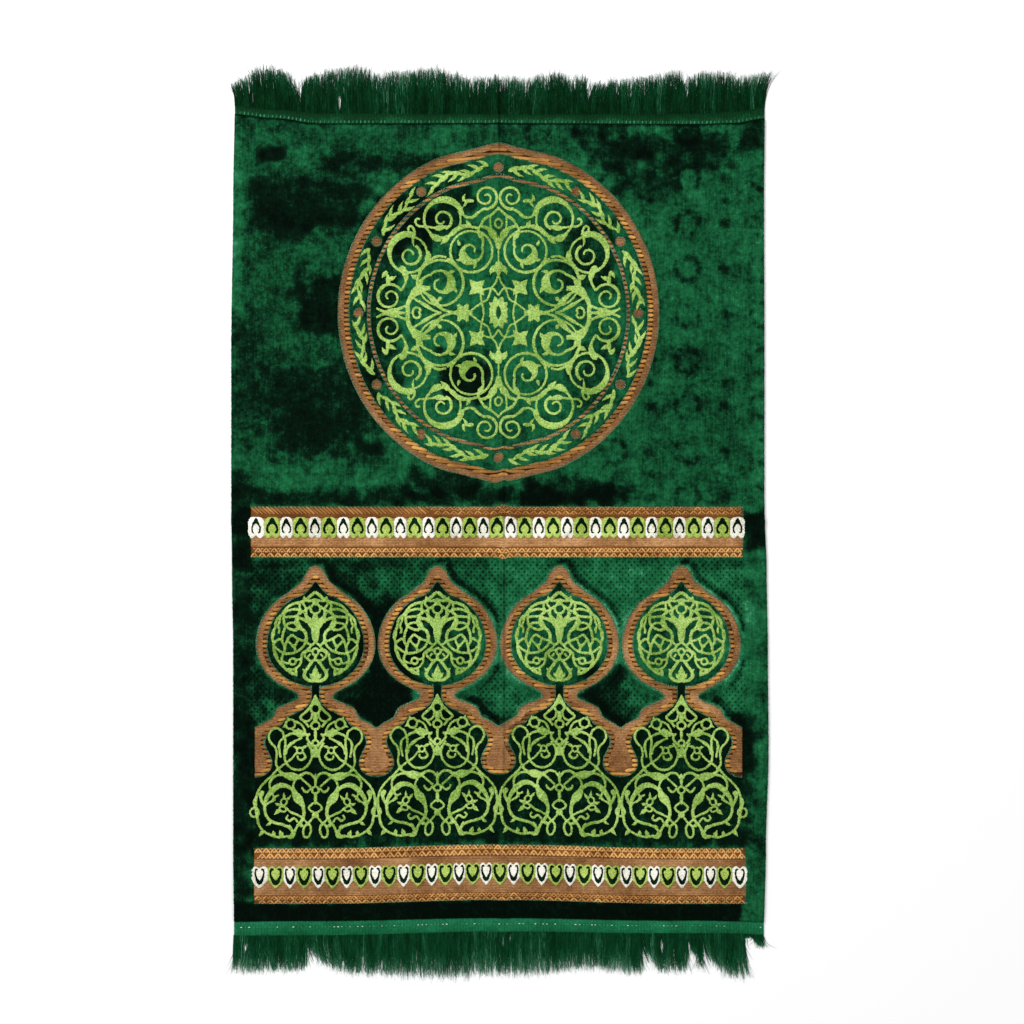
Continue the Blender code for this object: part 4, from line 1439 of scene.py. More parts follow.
def pile_body(name, outlines, grain, top, foot, material, seed, edge_drop=EDGE_DROP, relief=None):
    """A closed body of pile: a tufted top, ragged sides and a smooth underside. Also gives the
    place in the flat cloth of each of its points."""
    chance = random.Random(seed)
    inner = grain_points(outlines, grain, chance)
    if relief:
        inner = relief(inner)
    flat, tris, _ = triangulated(outlines, inner)
    rims = outlines_of(tris)
    on_rim = {index for rim in rims for index in rim}
    heads, verts, flat_places = {}, [], []
    for index in used_in(tris):
        across, along = flat[index]
        height = top + swell(across, along) + chance.uniform(-TUFT_ROUGHNESS, TUFT_ROUGHNESS)
        if index in on_rim:
            height -= edge_drop
        elif relief and stippled(across, along):
            height += stipple_height(across, along)
        heads[index] = len(verts)
        verts.append(place(across, along, height))
        flat_places.append((across, along))
    faces = [tuple(heads[index] for index in tri) for tri in tris]

    feet = {}
    for rim in rims:
        for index in rim:
            if index not in feet:
                feet[index] = len(verts)
                verts.append(place(*flat[index], foot))
                flat_places.append(tuple(flat[index]))
        faces += walls(rim, heads, feet)
    ordered = [index for rim in rims for index in rim]
    under, under_tris, origins = triangulated([[flat[index] for index in rim] for rim in rims],
                                              fold_points() if relief else [])
    below = {}
    for index in used_in(under_tris):
        known = [origin for origin in origins[index] if origin < len(ordered)]
        if known:
            below[index] = feet[ordered[known[0]]]
        else:
            below[index] = len(verts)
            verts.append(place(*under[index], foot))
            flat_places.append(tuple(under[index]))
    faces += [tuple(below[index] for index in tri)[::-1] for tri in under_tris]
    return mesh_object(name, verts, faces, [material]), flat_places


def fold_points():
    """Points along the two folds, so that an underside bends with them."""
    points = []
    for offset in FOLD_LINES:
        points += [(read_table(LONG_FOLD, along, "at") + offset * LONG_FOLD_REACH, along)
                   for along in steps_between(-LONG_FOLD_HALF, LONG_FOLD_HALF, FOLD_POINT_STEP)]
        along = CROSS_FOLD_AT + offset * CROSS_FOLD_REACH
        points += [(across, along)
                   for across in steps_between(-CROSS_FOLD_HALF, CROSS_FOLD_HALF, FOLD_POINT_STEP)]
    return points


def stipple_height(across, along):
    """The figured ground: small pits in a staggered grid."""
    wave = math.cos(math.pi * across / STIPPLE_ACROSS) * math.cos(math.pi * along / STIPPLE_ALONG)
    return STIPPLE_KNOB if wave < 0.5 else STIPPLE_PIT


def with_stipple(points):
    """The pile's points, set in an even grid where the ground is figured."""
    plain = [point for point in points if not stippled(*point)]
    grid = []
    for row in range(math.floor(ARCH_FOOT / STIPPLE_ALONG), 0):
        for column in range(math.floor(UPPER_BAND.left / STIPPLE_ACROSS),
                            math.ceil(UPPER_BAND.right / STIPPLE_ACROSS)):
            grid.append((column * STIPPLE_ACROSS, row * STIPPLE_ALONG))
            grid.append(((column + 0.5) * STIPPLE_ACROSS, (row + 0.5) * STIPPLE_ALONG))
    return plain + [spot for spot in grid if stippled(*spot)]


# Materials ---------------------------------------------------------------------------------------

def new_material(name, roughness, gloss, sheen=0.0, sheen_colour=(255, 255, 255)):
    """A material with its shader's even values set. Also gives its tree and the place socket."""
    material = bpy.data.materials.new(name)
    material.use_nodes = True
    tree = material.node_tree
    for label, value in (("Roughness", roughness), ("Specular IOR Level", gloss),
                         ("Sheen Weight", sheen), ("Sheen Roughness", SHEEN_ROUGHNESS),
                         ("Sheen Tint", display_colour(sheen_colour))):
        tree.nodes["Principled BSDF"].inputs[label].default_value = value
    return material, tree, node(tree, "ShaderNodeTexCoord").outputs["Object"]


def node(tree, kind, values=None, **settings):
    """A node with its settings, and with its inputs set to values or linked to sockets."""
    made = tree.nodes.new(kind)
    for setting, value in settings.items():
        setattr(made, setting, value)
    for name, value in (values or {}).items():
        if isinstance(value, bpy.types.NodeSocket):
            tree.links.new(value, made.inputs[name])
        else:
            made.inputs[name].default_value = value
    return made


def maths(tree, operation, first, second=0.0):
    """One sum on two numbers or sockets."""
    return node(tree, "ShaderNodeMath", {0: first, 1: second}, operation=operation).outputs[0]


def grain_noise(tree, place_socket, size, stretch=(1.0, 1.0, 1.0), detail=2.0):
    """Noise from 0 to 1 with lumps of about the size given in millimetres."""
    scaled = node(tree, "ShaderNodeMapping", {"Vector": place_socket, "Scale": stretch})
    made = node(tree, "ShaderNodeTexNoise", {"Vector": scaled.outputs[0],
                "Scale": 1 / (size * MM), "Detail": detail})
    return made.outputs["Fac"]


def threads(tree, spot, pitch, direction, distortion, detail=2.0, detail_scale=1.0):
    """Waves from 0 to 1, side by side like threads, by their pitch in millimetres."""
    return node(tree, "ShaderNodeTexWave", {"Vector": spot, "Scale": WAVE_UNIT / pitch,
                "Distortion": distortion, "Detail": detail, "Detail Scale": detail_scale},
                bands_direction=direction).outputs["Fac"]


def number_of(tree, name):
    """An attribute of the mesh's points."""
    return node(tree, "ShaderNodeAttribute", attribute_name=name).outputs["Fac"]


def colour_scale(tree, factor, stops):
    """Colours along a scale. A stop is a place, and a colour in display values or a number."""
    made = node(tree, "ShaderNodeValToRGB", {"Fac": factor})
    scale = made.color_ramp.elements
    while len(scale) < len(stops):
        scale.new(0.5)
    for element, (at, colour) in zip(scale, stops):
        element.position = at
        element.color = display_colour(colour) if isinstance(colour, tuple) else (colour,) * 4
    return made.outputs["Color"]


def three_tones(tree, value, spread, tones):
    """A dye's dark, middle and light tone, by a value round one half."""
    return colour_scale(tree, value, list(zip((0.5 - spread, 0.5, 0.5 + spread), tones)))


def display_colour(colour):
    """A colour given in display values from 0 to 255, as the shader needs it."""
    linear = []
    for value in colour:
        part = value / 255
        linear.append(part / 12.92 if part < 0.04 else ((part + 0.055) / 1.055) ** 2.4)
    return (*linear, 1.0)


def eased(tree, value, low, high, first, last):
    """A number that eases from first to last while a place in millimetres goes from low to high."""
    made = node(tree, "ShaderNodeMapRange", {"Value": value, "From Min": low * MM,
                "From Max": high * MM, "To Min": first, "To Max": last},
                interpolation_type="SMOOTHSTEP")
    return made.outputs[0]


def by_place_along(tree, along, stops):
    """A factor that changes along the rug. A stop is a place in millimetres and its factor."""
    part = node(tree, "ShaderNodeMapRange", {"Value": along, "From Min": ALONG_LOW * MM,
                "From Max": -ALONG_LOW * MM, "To Min": 0.0, "To Max": 1.0})
    return colour_scale(tree, part.outputs[0],
                        [((at - ALONG_LOW) / (-2 * ALONG_LOW), factor) for at, factor in stops])


def fold_shade(tree, place_socket):
    """A factor that paints shade on the cloth in the crease of the long fold."""
    split = node(tree, "ShaderNodeSeparateXYZ", {"Vector": place_socket})
    low, high = LONG_FOLD
    crease_at = eased(tree, split.outputs["Y"], low.along + SHIFT.y, high.along + SHIFT.y,
                      (low.at + CREASE_OFF + SHIFT.x) * MM, (high.at + CREASE_OFF + SHIFT.x) * MM)
    off = maths(tree, "ABSOLUTE", maths(tree, "SUBTRACT", split.outputs["X"], crease_at))
    dark = maths(tree, "MULTIPLY", eased(tree, off, 0.0, CREASE_WIDTH, CREASE_SHADE, 0.0),
                 by_place_along(tree, split.outputs["Y"], CREASE_STRENGTH))
    return maths(tree, "SUBTRACT", 1.0, dark)


def finish_material(material, spot, colour, bumps, strength=None):
    """Puts the colour and the bumps on the shader, and gives the material back. The colour gets
    painted shade in the crease, and is darkened by a strength along the rug if one is given. A
    bump is a height socket with its depth in millimetres."""
    tree = material.node_tree
    shader = tree.nodes["Principled BSDF"]
    shade = fold_shade(tree, spot)
    if strength:
        split = node(tree, "ShaderNodeSeparateXYZ", {"Vector": spot})
        shade = maths(tree, "MULTIPLY", shade, by_place_along(tree, split.outputs["Y"], strength))
    shaded = node(tree, "ShaderNodeVectorMath", {0: colour, 1: shade}, operation="MULTIPLY")
    tree.links.new(shaded.outputs[0], shader.inputs["Base Color"])
    under = {}
    for height, depth in bumps:
        bump = node(tree, "ShaderNodeBump", {"Height": height, "Distance": depth * MM,
                    "Strength": 1.0, **under})
        under = {"Normal": bump.outputs["Normal"]}
    tree.links.new(under["Normal"], shader.inputs["Normal"])
    return material


def summed(tree, first, *parts):
    """A number with textures added to it. A part is a texture and how far it moves the number."""
    for texture, amount in parts:
        off = maths(tree, "MULTIPLY", maths(tree, "SUBTRACT", texture, 0.5), amount)
        first = maths(tree, "ADD", first, off)
    return first


def pit_pattern(tree, spot):
    """A factor that is 1 in the pits of the figured ground and 0 between them."""
    sway = node(tree, "ShaderNodeTexNoise", {"Vector": spot, "Scale": 1 / (PILE_GRAIN * MM)})
    moved = node(tree, "ShaderNodeVectorMath", {0: sway.outputs["Color"], 1: (PIT_WANDER * MM,) * 3,
                 2: spot}, operation="MULTIPLY_ADD")
    split = node(tree, "ShaderNodeSeparateXYZ", {"Vector": moved.outputs[0]})
    waves = []
    for axis, middle, pitch in (("X", SHIFT.x, STIPPLE_ACROSS), ("Y", SHIFT.y, STIPPLE_ALONG)):
        off = maths(tree, "SUBTRACT", split.outputs[axis], (middle + PIT_WANDER / 2) * MM)
        waves.append(maths(tree, "COSINE", maths(tree, "MULTIPLY", off, math.pi / (pitch * MM))))
    pits = node(tree, "ShaderNodeMapRange", {"Value": maths(tree, "MULTIPLY", *waves),
                "From Min": PIT_EDGES[0], "From Max": PIT_EDGES[1], "To Min": 0.0, "To Max": 1.0},
                interpolation_type="SMOOTHSTEP")
    return maths(tree, "MULTIPLY", pits.outputs[0], number_of(tree, "figured"))


def green_pile():
    """Dark green velvet pile. Where its nap is brushed, painted sheen and shade make it lighter and
    darker in patches, and it has painted glints, a painted highlight along its edges and painted
    shade in its pits.
    """
    material, tree, spot = new_material("green_pile", 0.9, 0.03, 0.25, (20, 120, 70))
    mottles = grain_noise(tree, spot, 15.0, detail=4.0)
    lumps = grain_noise(tree, spot, 5.5)
    tufts = grain_noise(tree, spot, 2.2)
    streaks = grain_noise(tree, spot, 2.2, stretch=(1.0, 0.07, 1.0))
    fibres = grain_noise(tree, spot, 0.9, detail=1.0)
    # painted glints: light specks added to the pile's colour
    glints = maths(tree, "SUBTRACT", grain_noise(tree, spot, 1.8, detail=0.0), GLINT_ABOVE)
    glints = maths(tree, "MULTIPLY", maths(tree, "MAXIMUM", glints, 0.0), GLINT_SHADE)
    light = summed(tree, number_of(tree, "painted_nap_shade"), (mottles, 0.50), (lumps, 0.50), (tufts, 0.26),
                   (streaks, 0.28), (fibres, 0.16))
    light = maths(tree, "ADD", light, glints)
    # painted highlight along the pile's edges, where its loose tips catch the light
    edge_highlight = maths(tree, "MULTIPLY", number_of(tree, "lit"),
                   maths(tree, "ADD", tufts, LIT_EDGE_LEAST))
    light = maths(tree, "ADD", light, maths(tree, "MULTIPLY", edge_highlight, LIT_EDGE_SHADE))
    # painted shade in the pits of the figured ground
    pits = maths(tree, "MULTIPLY", pit_pattern(tree, spot), PIT_SHADE)
    colour = colour_scale(tree, maths(tree, "SUBTRACT", light, pits), [
        (0.0, (1, 8, 4)), (0.28, (3, 24, 12)), (0.42, (8, 46, 26)), (0.54, (14, 70, 40)),
        (0.72, (24, 94, 56)), (0.88, (40, 116, 76)), (1.0, (84, 152, 118))])
    return finish_material(material, spot, colour, [(tufts, 0.35), (fibres, 0.2)])


def dyed_pile(name, *tones):
    """Pile of one dye, with darker and lighter tufts."""
    material, tree, spot = new_material(name, 0.9, 0.04)
    tufts = grain_noise(tree, spot, 2.0)
    fibres = grain_noise(tree, spot, 0.8, detail=1.0)
    slow = grain_noise(tree, spot, 45.0)
    value = summed(tree, 0.5, (tufts, 0.55), (fibres, 0.35), (slow, 0.45))
    return finish_material(material, spot, three_tones(tree, value, 0.14, tones),
                           [(tufts, 0.4), (fibres, 0.25)])


def flat_weave():
    """The plain brown weave: fine threads across, crossed by finer ones, with light slubs."""
    material, tree, spot = new_material("brown_weave", 0.75, 0.1)
    wefts = threads(tree, spot, WEFT_PITCH, "Y", 1.2, detail=1.0, detail_scale=3.0)
    warps = threads(tree, spot, WARP_PITCH, "X", 0.8)
    weave = maths(tree, "MULTIPLY", wefts, maths(tree, "ADD", warps, 0.5))
    slubs = grain_noise(tree, spot, 1.5, stretch=(0.7, 1.0, 1.0), detail=1.0)
    wear = grain_noise(tree, spot, 9.0)
    slow = grain_noise(tree, spot, 70.0)
    value = summed(tree, 0.48, (weave, 0.22), (slubs, 0.50), (wear, 0.30), (slow, 0.7))
    colour = colour_scale(tree, value, [
        (0.2, (92, 58, 28)), (0.48, (142, 98, 58)), (0.78, (206, 158, 110))])
    return finish_material(material, spot, colour, [(weave, 0.15), (slubs, 0.12)], WEAVE_STRENGTH)


def backing():
    """The back and the sides of the ground weave: dull green and brown threads."""
    material, tree, spot = new_material("back_weave", 0.85, 0.05)
    wefts = threads(tree, spot, WEFT_PITCH, "Y", 1.5)
    wear = grain_noise(tree, spot, 14.0)
    value = maths(tree, "MULTIPLY", maths(tree, "ADD", wefts, wear), 0.5)
    colour = colour_scale(tree, value, [
        (0.2, (14, 42, 26)), (0.55, (30, 72, 46)), (0.85, (74, 88, 58))])
    return finish_material(material, spot, colour, [(wefts, 0.4)])


def yarn(name, *tones, roughness=0.5, gloss=0.2):
    """Shiny yarn of one dye. Each float or strand has its own shade."""
    material, tree, spot = new_material(name, roughness, gloss)
    fibres = grain_noise(tree, spot, 1.4, stretch=(0.35, 1.6, 1.0))
    slow = grain_noise(tree, spot, 50.0)
    value = summed(tree, 0.5, (number_of(tree, "shade"), 0.35), (fibres, 0.55), (slow, 0.9))
    return finish_material(material, spot, three_tones(tree, value, 0.3, tones), [(fibres, 0.25)])


def fringe_yarn(name, light):
    """Fringe yarn: painted shade between the strands at the root, and lighter and thinner to the
    tip, with light shining through the thin strands painted in.
    """
    material, tree, spot = new_material(name, 0.7, 0.03)
    fibres = grain_noise(tree, spot, 1.6, stretch=(1.6, 0.3, 1.0))
    clumps = grain_noise(tree, spot, 9.0, stretch=(1.4, 0.35, 1.0))
    # painted shade at the root and painted light towards the tip
    tip = maths(tree, "POWER", number_of(tree, "tipwards"), 3.0)
    stray = maths(tree, "POWER", number_of(tree, "shade"), 9.0)
    value = summed(tree, light, (number_of(tree, "shade"), 0.24), (fibres, 0.35), (clumps, 0.5),
                   (tip, 0.42), (stray, 0.40))
    colour = colour_scale(tree, value, [
        (0.0, (1, 22, 8)), (0.26, (5, 46, 20)), (0.44, (11, 66, 36)), (0.62, (26, 92, 58)),
        (1.0, (110, 162, 134))])
    return finish_material(material, spot, colour, [(fibres, 0.2)])


def tape_weave(name, falloff, *tones):
    """The ribbed tape that holds a fringe: close ribs along the strands, darker by the falloff
    towards the fringe."""
    material, tree, spot = new_material(name, 0.7, 0.05)
    ribs = threads(tree, spot, TAPE_RIB_PITCH, "X", 2.0, detail_scale=4.0)
    wear = grain_noise(tree, spot, 3.0)
    slow = grain_noise(tree, spot, 40.0)
    value = summed(tree, 0.5, (ribs, 0.10), (wear, 0.5), (slow, 0.6),
                   (number_of(tree, "edge_part"), -falloff))
    return finish_material(material, spot, three_tones(tree, value, 0.3, tones), [(ribs, 0.2)])


# Yarns and tufts, by geometry nodes --------------------------------------------------------------

def tree_with(name, inputs):
    """An empty tree that takes geometry and the named inputs, and gives geometry."""
    tree = bpy.data.node_groups.new(name, "GeometryNodeTree")
    tree.interface.new_socket("Geometry", in_out="INPUT", socket_type="NodeSocketGeometry")
    for label, kind in inputs.items():
        tree.interface.new_socket(label, in_out="INPUT", socket_type=kind)
    tree.interface.new_socket("Geometry", in_out="OUTPUT", socket_type="NodeSocketGeometry")
    return tree, tree.nodes.new("NodeGroupInput"), tree.nodes.new("NodeGroupOutput")


def ended(tree, last, given, result):
    """A tree that ends with what its last node gives, made real and given the yarn's material."""
    real = node(tree, "GeometryNodeRealizeInstances", {"Geometry": last.outputs[0]})
    dyed = node(tree, "GeometryNodeSetMaterial", {"Geometry": real.outputs[0],
                "Material": given.outputs["Yarn"]})
    tree.links.new(dyed.outputs[0], result.inputs["Geometry"])
    return tree


def yarn_tree():
    """Turns runs of edges into closed yarns as thick as their points say."""
    tree, given, result = tree_with("yarns_along_runs", {
        "Sides": "NodeSocketInt", "Flatness": "NodeSocketFloat", "Yarn": "NodeSocketMaterial"})
    runs = node(tree, "GeometryNodeMeshToCurve", {"Mesh": given.outputs["Geometry"]})
    level = node(tree, "GeometryNodeSetCurveNormal", {"Curve": runs.outputs[0]}, mode="Z_UP")
    ring = node(tree, "GeometryNodeCurvePrimitiveCircle", {"Resolution": given.outputs["Sides"],
                "Radius": 1.0}, mode="RADIUS")
    squash = node(tree, "ShaderNodeCombineXYZ", {"X": 1.0, "Y": given.outputs["Flatness"],
                  "Z": 1.0})
    section = node(tree, "GeometryNodeTransform", {"Geometry": ring.outputs["Curve"],
                   "Scale": squash.outputs[0]})
    thick = node(tree, "GeometryNodeInputNamedAttribute", {"Name": "thick"}, data_type="FLOAT")
    body = node(tree, "GeometryNodeCurveToMesh", {"Curve": level.outputs[0],
                "Profile Curve": section.outputs[0], "Scale": thick.outputs["Attribute"],
                "Fill Caps": True})
    soft = node(tree, "GeometryNodeSetShadeSmooth", {"Geometry": body.outputs[0]})
    return ended(tree, soft, given, result)


def tuft_tree():
    """Sets small pointed tufts along runs of edges, leaning the way their points say."""
    tree, given, result = tree_with("tufts_along_runs", {
        "Spacing": "NodeSocketFloat", "Length": "NodeSocketFloat", "Width": "NodeSocketFloat",
        "Seed": "NodeSocketInt", "Yarn": "NodeSocketMaterial"})
    runs = node(tree, "GeometryNodeMeshToCurve", {"Mesh": given.outputs["Geometry"]})
    spots = node(tree, "GeometryNodeResampleCurve", {"Curve": runs.outputs[0],
                 "Length": given.outputs["Spacing"]}, mode="LENGTH")
    tuft = node(tree, "GeometryNodeMeshCone", {"Vertices": 3, "Radius Top": 0.0,
                "Radius Bottom": given.outputs["Width"], "Depth": given.outputs["Length"]},
                fill_type="NGON")
    lean = node(tree, "GeometryNodeInputNamedAttribute", {"Name": "lean"}, data_type="FLOAT_VECTOR")
    aligned = node(tree, "FunctionNodeAlignRotationToVector", {"Vector": lean.outputs["Attribute"]},
                   axis="Z")
    loose = node(tree, "FunctionNodeRandomValue", {"Seed": given.outputs["Seed"],
                 "Min": (-TUFT_SWAY, -TUFT_SWAY, -math.pi), "Max": (TUFT_SWAY, TUFT_SWAY, math.pi)},
                 data_type="FLOAT_VECTOR")
    sway = node(tree, "FunctionNodeEulerToRotation", {"Euler": loose.outputs[0]})
    turned = node(tree, "FunctionNodeRotateRotation", {"Rotation": aligned.outputs[0],
                  "Rotate By": sway.outputs[0]}, rotation_space="LOCAL")
    # The inputs 2 and 3 are the least and the most of a plain number.
    sizes = node(tree, "FunctionNodeRandomValue", {"Seed": given.outputs["Seed"],
                 2: TUFT_SIZES[0], 3: TUFT_SIZES[1]}, data_type="FLOAT")
    rooted = node(tree, "GeometryNodeInstanceOnPoints", {"Points": spots.outputs[0],
                  "Instance": tuft.outputs["Mesh"], "Rotation": turned.outputs[0],
                  "Scale": sizes.outputs[1]})
    return ended(tree, rooted, given, result)


def grown(name, verts, edges, values, tree, inputs):
    """A plain mesh piece made by a tree from runs of edges with values on their points."""
    mesh = bpy.data.meshes.new(name + "_runs")
    mesh.from_pydata(verts, edges, [])
    holder = in_scene(name + "_runs", mesh)
    for label, numbers in values.items():
        add_values(holder, label, numbers)
    maker = holder.modifiers.new("maker", "NODES")
    maker.node_group = tree
    sockets = {item.name: item.identifier for item in tree.interface.items_tree
               if item.in_out == "INPUT"}
    for label, value in inputs.items():
        maker[sockets[label]] = value
    bpy.context.view_layer.update()
    evaluated = holder.evaluated_get(bpy.context.evaluated_depsgraph_get())
    made = bpy.data.meshes.new_from_object(evaluated)
    made.name = name
    bpy.data.objects.remove(holder)
    bpy.data.meshes.remove(mesh)
    return in_scene(name, made)


# The points of a yarn, how thick it is at each of them in millimetres, and its shade.
Run = namedtuple("Run", "points thick shade")


def yarns(name, runs, sides, flatness, material, tree):
    """Yarns along runs. Each point also says how far along its run it is, towards the tip."""
    verts, edges, thick, shade, tipwards = [], [], [], [], []
    for run in runs:
        first = len(verts)
        verts += run.points
        edges += [(number, number + 1) for number in range(first, len(verts) - 1)]
        thick += [size * MM for size in run.thick]
        shade += [run.shade] * len(run.points)
        tipwards += [number / (len(run.points) - 1) for number in range(len(run.points))]
    return grown(name, verts, edges, {"thick": thick, "shade": shade, "tipwards": tipwards}, tree,
                 {"Sides": sides, "Flatness": flatness, "Yarn": material})


# Floats, lattices and beds -----------------------------------------------------------------------

def float_run(left, right, middle, along, slope, thick, height, chance):
    """One float, rounded at its ends. It lies on a line that slopes through its middle."""
    ends = min(FLOAT_END, (right - left) / 3)
    inner = steps_between(left + ends, right - ends, FLOAT_STEP)
    rounding = [size for _, size in FLOAT_ROUNDING]
    offs = [ends * part for part, _ in FLOAT_ROUNDING]
    stations = [left + off for off in offs] + inner + [right - off for off in reversed(offs)]
    tilt = chance.uniform(-FLOAT_TILT, FLOAT_TILT)
    sizes = rounding + [1.0] * len(inner) + rounding[::-1]
    points = [place(across, along + (across - middle) * slope
                    + tilt * (number / len(stations) - 0.5), height)
              for number, across in enumerate(stations)]
    return Run(points, [thick * size for size in sizes], chance.random())


def stroke_run(start, end, thick, height, chance):
    """A short slanting float of a lattice."""
    points, sizes = [], []
    for part, size in STROKE_SIZES:
        across = start[0] + (end[0] - start[0]) * part
        along = start[1] + (end[1] - start[1]) * part
        points.append(place(across, along, height))
        sizes.append(thick * size)
    return Run(points, sizes, chance.random())


def slanted_strip(strip, chance):
    """A strip of floats that all slant one way, a wide and a narrow one in each repeat."""
    runs = []
    lean = strip.top - strip.bottom
    for number in range(math.floor(strip.left / LATTICE_REPEAT),
                        math.ceil((strip.right + lean) / LATTICE_REPEAT)):
        for bar in BARS:
            top = number * LATTICE_REPEAT + bar.off
            start, low = max(top, strip.left + BAR_END), strip.bottom + BAR_END
            high = strip.top - BAR_END - (start - top)
            end = top + lean
            if end > strip.right - BAR_END:
                low += end - strip.right + BAR_END
                end = strip.right - BAR_END
            if high - low > 2 * BAR_END:
                runs.append(stroke_run((start, high), (end, low), bar.thick, LATTICE_HEIGHT,
                                       chance))
    return runs


def nested_strip(strip, chance):
    """Two rows of nested peaks, the lower row set off by half a repeat."""
    runs = []
    row_height = (strip.top - strip.bottom) / 2
    half = LATTICE_REPEAT / 2
    for row in range(2):
        apex = strip.top - row * row_height - PEAK_DROP
        foot = strip.top - (row + 1) * row_height - PEAK_FOOT
        for number in range(math.ceil(strip.left / half), math.floor(strip.right / half) + 1):
            middle = number * half
            if (number + row) % 2 == 0:
                runs += peak(strip, middle, apex, foot, half * PEAK_WIDE, PEAK_THICK, chance)
                runs += peak(strip, middle, apex - INNER_DROP, foot, INNER_WIDE, INNER_THICK,
                             chance)
            elif row == 0:
                runs += peak(strip, middle, apex, apex - CREST_DEEP, CREST_WIDE, CREST_THICK,
                             chance)
    return runs


def peak(strip, middle, apex, foot, wide, thick, chance):
    """The two strokes of one peak, as far as they lie on the strip."""
    return [stroke_run((middle + side * PEAK_GAP, apex), (middle + side * wide, foot), thick,
                       LATTICE_HEIGHT, chance)
            for side in (-1, 1)
            if strip.left + thick < middle < strip.right - thick
            and strip.left < middle + side * wide < strip.right]


def bead_row(strip, chance):
    """A row of light beads along a strip's lower edge."""
    return [stroke_run((across - BEAD_LONG, strip.bottom), (across + BEAD_LONG, strip.bottom),
                       BEAD_THICK, LATTICE_HEIGHT, chance)
            for across in steps_between(strip.left + BEAD_PITCH, strip.right - BEAD_PITCH,
                                        BEAD_PITCH)]


def flat_bed(name, flat, tris, height, material):
    """A thin woven bed under floats."""
    used = used_in(tris)
    top = {index: number for number, index in enumerate(used)}
    foot = {index: number + len(used) for number, index in enumerate(used)}
    verts = [place(*flat[index], level) for level in (height, PILE_FOOT) for index in used]
    faces = [tuple(top[index] for index in tri) for tri in tris]
    faces += [tuple(foot[index] for index in tri)[::-1] for tri in tris]
    for rim in outlines_of(tris):
        faces += walls(rim, top, foot)
    return mesh_object(name, verts, faces, [material])


# The rug's pieces --------------------------------------------------------------------------------

def closer_near(start, end, fold, reach):
    """Places from start to end that lie closer together within reach of a fold."""
    near = steps_between(fold - reach, fold + reach, FOLD_STEP)
    return (steps_between(start, near[0], GROUND_STEP)[:-1] + near
            + steps_between(near[-1], end, GROUND_STEP)[1:])


def ground_sheet(top_material, back_material):
    """The woven ground under the pile, closed round its edges."""
    left, right = SIDES[0].left, SIDES[0].right
    low, high = read_table(ENDS, 0, "bottom_seam"), read_table(ENDS, 0, "top_seam")
    columns = closer_near(left, right, LONG_FOLD_AT, LONG_FOLD_CLOSE)
    rows = closer_near(low, high, CROSS_FOLD_AT, CROSS_FOLD_CLOSE)
    verts = []
    for height in (GROUND_TOP, 0.0):
        for row in rows:
            side_left, side_right = read_table(SIDES, row, "left"), read_table(SIDES, row, "right")
            for column in columns:
                part = (column - left) / (right - left)
                across = side_left + (side_right - side_left) * part
                bottom, top = cloth_end(across, "bottom"), cloth_end(across, "top")
                along = bottom + (top - bottom) * (row - low) / (high - low)
                verts.append(place(across, along, height))
    wide, tall = len(columns), len(rows)
    under = wide * tall
    faces = []
    for row in range(tall - 1):
        for column in range(wide - 1):
            first = row * wide + column
            faces.append((first, first + 1, first + wide + 1, first + wide))
    tops = len(faces)
    faces += [tuple(number + under for number in face)[::-1] for face in faces]
    rim = list(range(wide)) + [row * wide + wide - 1 for row in range(1, tall)]
    rim += [under - 1 - number for number in range(1, wide)]
    rim += [row * wide for row in range(tall - 2, 0, -1)]
    faces += walls(rim, range(under), range(under, 2 * under))
    piece = mesh_object("ground_weave", verts, faces, [top_material, back_material])
    for number in range(tops, len(faces)):
        piece.data.polygons[number].material_index = 1
    return piece


def pile_outlines():
    """The green pile's edges: the rug's edge, and round each flat woven part that it leaves."""
    chance = random.Random(OUTLINE_SEED)
    outer, inner = arch_edges()
    rims = [rug_outline(CAD_END_STEP, CAD_END_STEP)]
    rims += [medallion_ring(radii) for radii in MEDALLION_RIMS]
    rims += [outer + inner[::-1]] + medallion_dots() + [opening(UPPER_BAND), opening(LOWER_BAND)]
    return [woven_edge(rim, chance) for rim in rims]


def green_piece(material):
    """The green pile, with painted sheen and shade where it is brushed, and a painted highlight
    along its edges.
    """
    piece, flat_places = pile_body("green_pile", pile_outlines(), PILE_GRAIN, PILE_TOP, PILE_FOOT,
                                   material, PILE_SEED, relief=with_stipple)
    near = tree_of(arch_edges()[0])
    offs = [near.find((across, along, 0))[2] for across, along in flat_places]
    add_values(piece, "painted_nap_shade", [painted_nap_shade(*spot, off) for spot, off in zip(flat_places, offs)])
    add_values(piece, "lit", [lit_edge(*spot, off) for spot, off in zip(flat_places, offs)])
    add_values(piece, "figured", [float(stippled(across, along)) for across, along in flat_places])
    return piece


def motif_pieces(material):
    """The lime scrolls: the medallion's, its ring's vines, and one piece for each arch."""
    chance = random.Random(MOTIF_SEED)
    top, foot = PILE_TOP + MOTIF_RISE, PILE_TOP - MOTIF_ROOT
    middle = (MEDALLION_ACROSS, MEDALLION_ALONG)
    strokes = chart(MEDALLION, middle, [(1, 1), (-1, 1), (1, -1), (-1, -1)])
    drawn = {"medallion_scrolls": strokes, "ring_vines": ring_vines()}
    for arch in range(ARCHES):
        middle = (arch_middle(arch), ARCH_FOOT)
        drawn["arch_scrolls_%d" % (arch + 1)] = chart(ARCH, middle, [(1, 1), (-1, 1)])
    return [pile_body(name, joined(strokes, chance), MOTIF_GRAIN, top, foot, material, seed,
                      edge_drop=MOTIF_EDGE_DROP)[0]
            for seed, (name, strokes) in enumerate(drawn.items(), MOTIF_SEED + 1)]


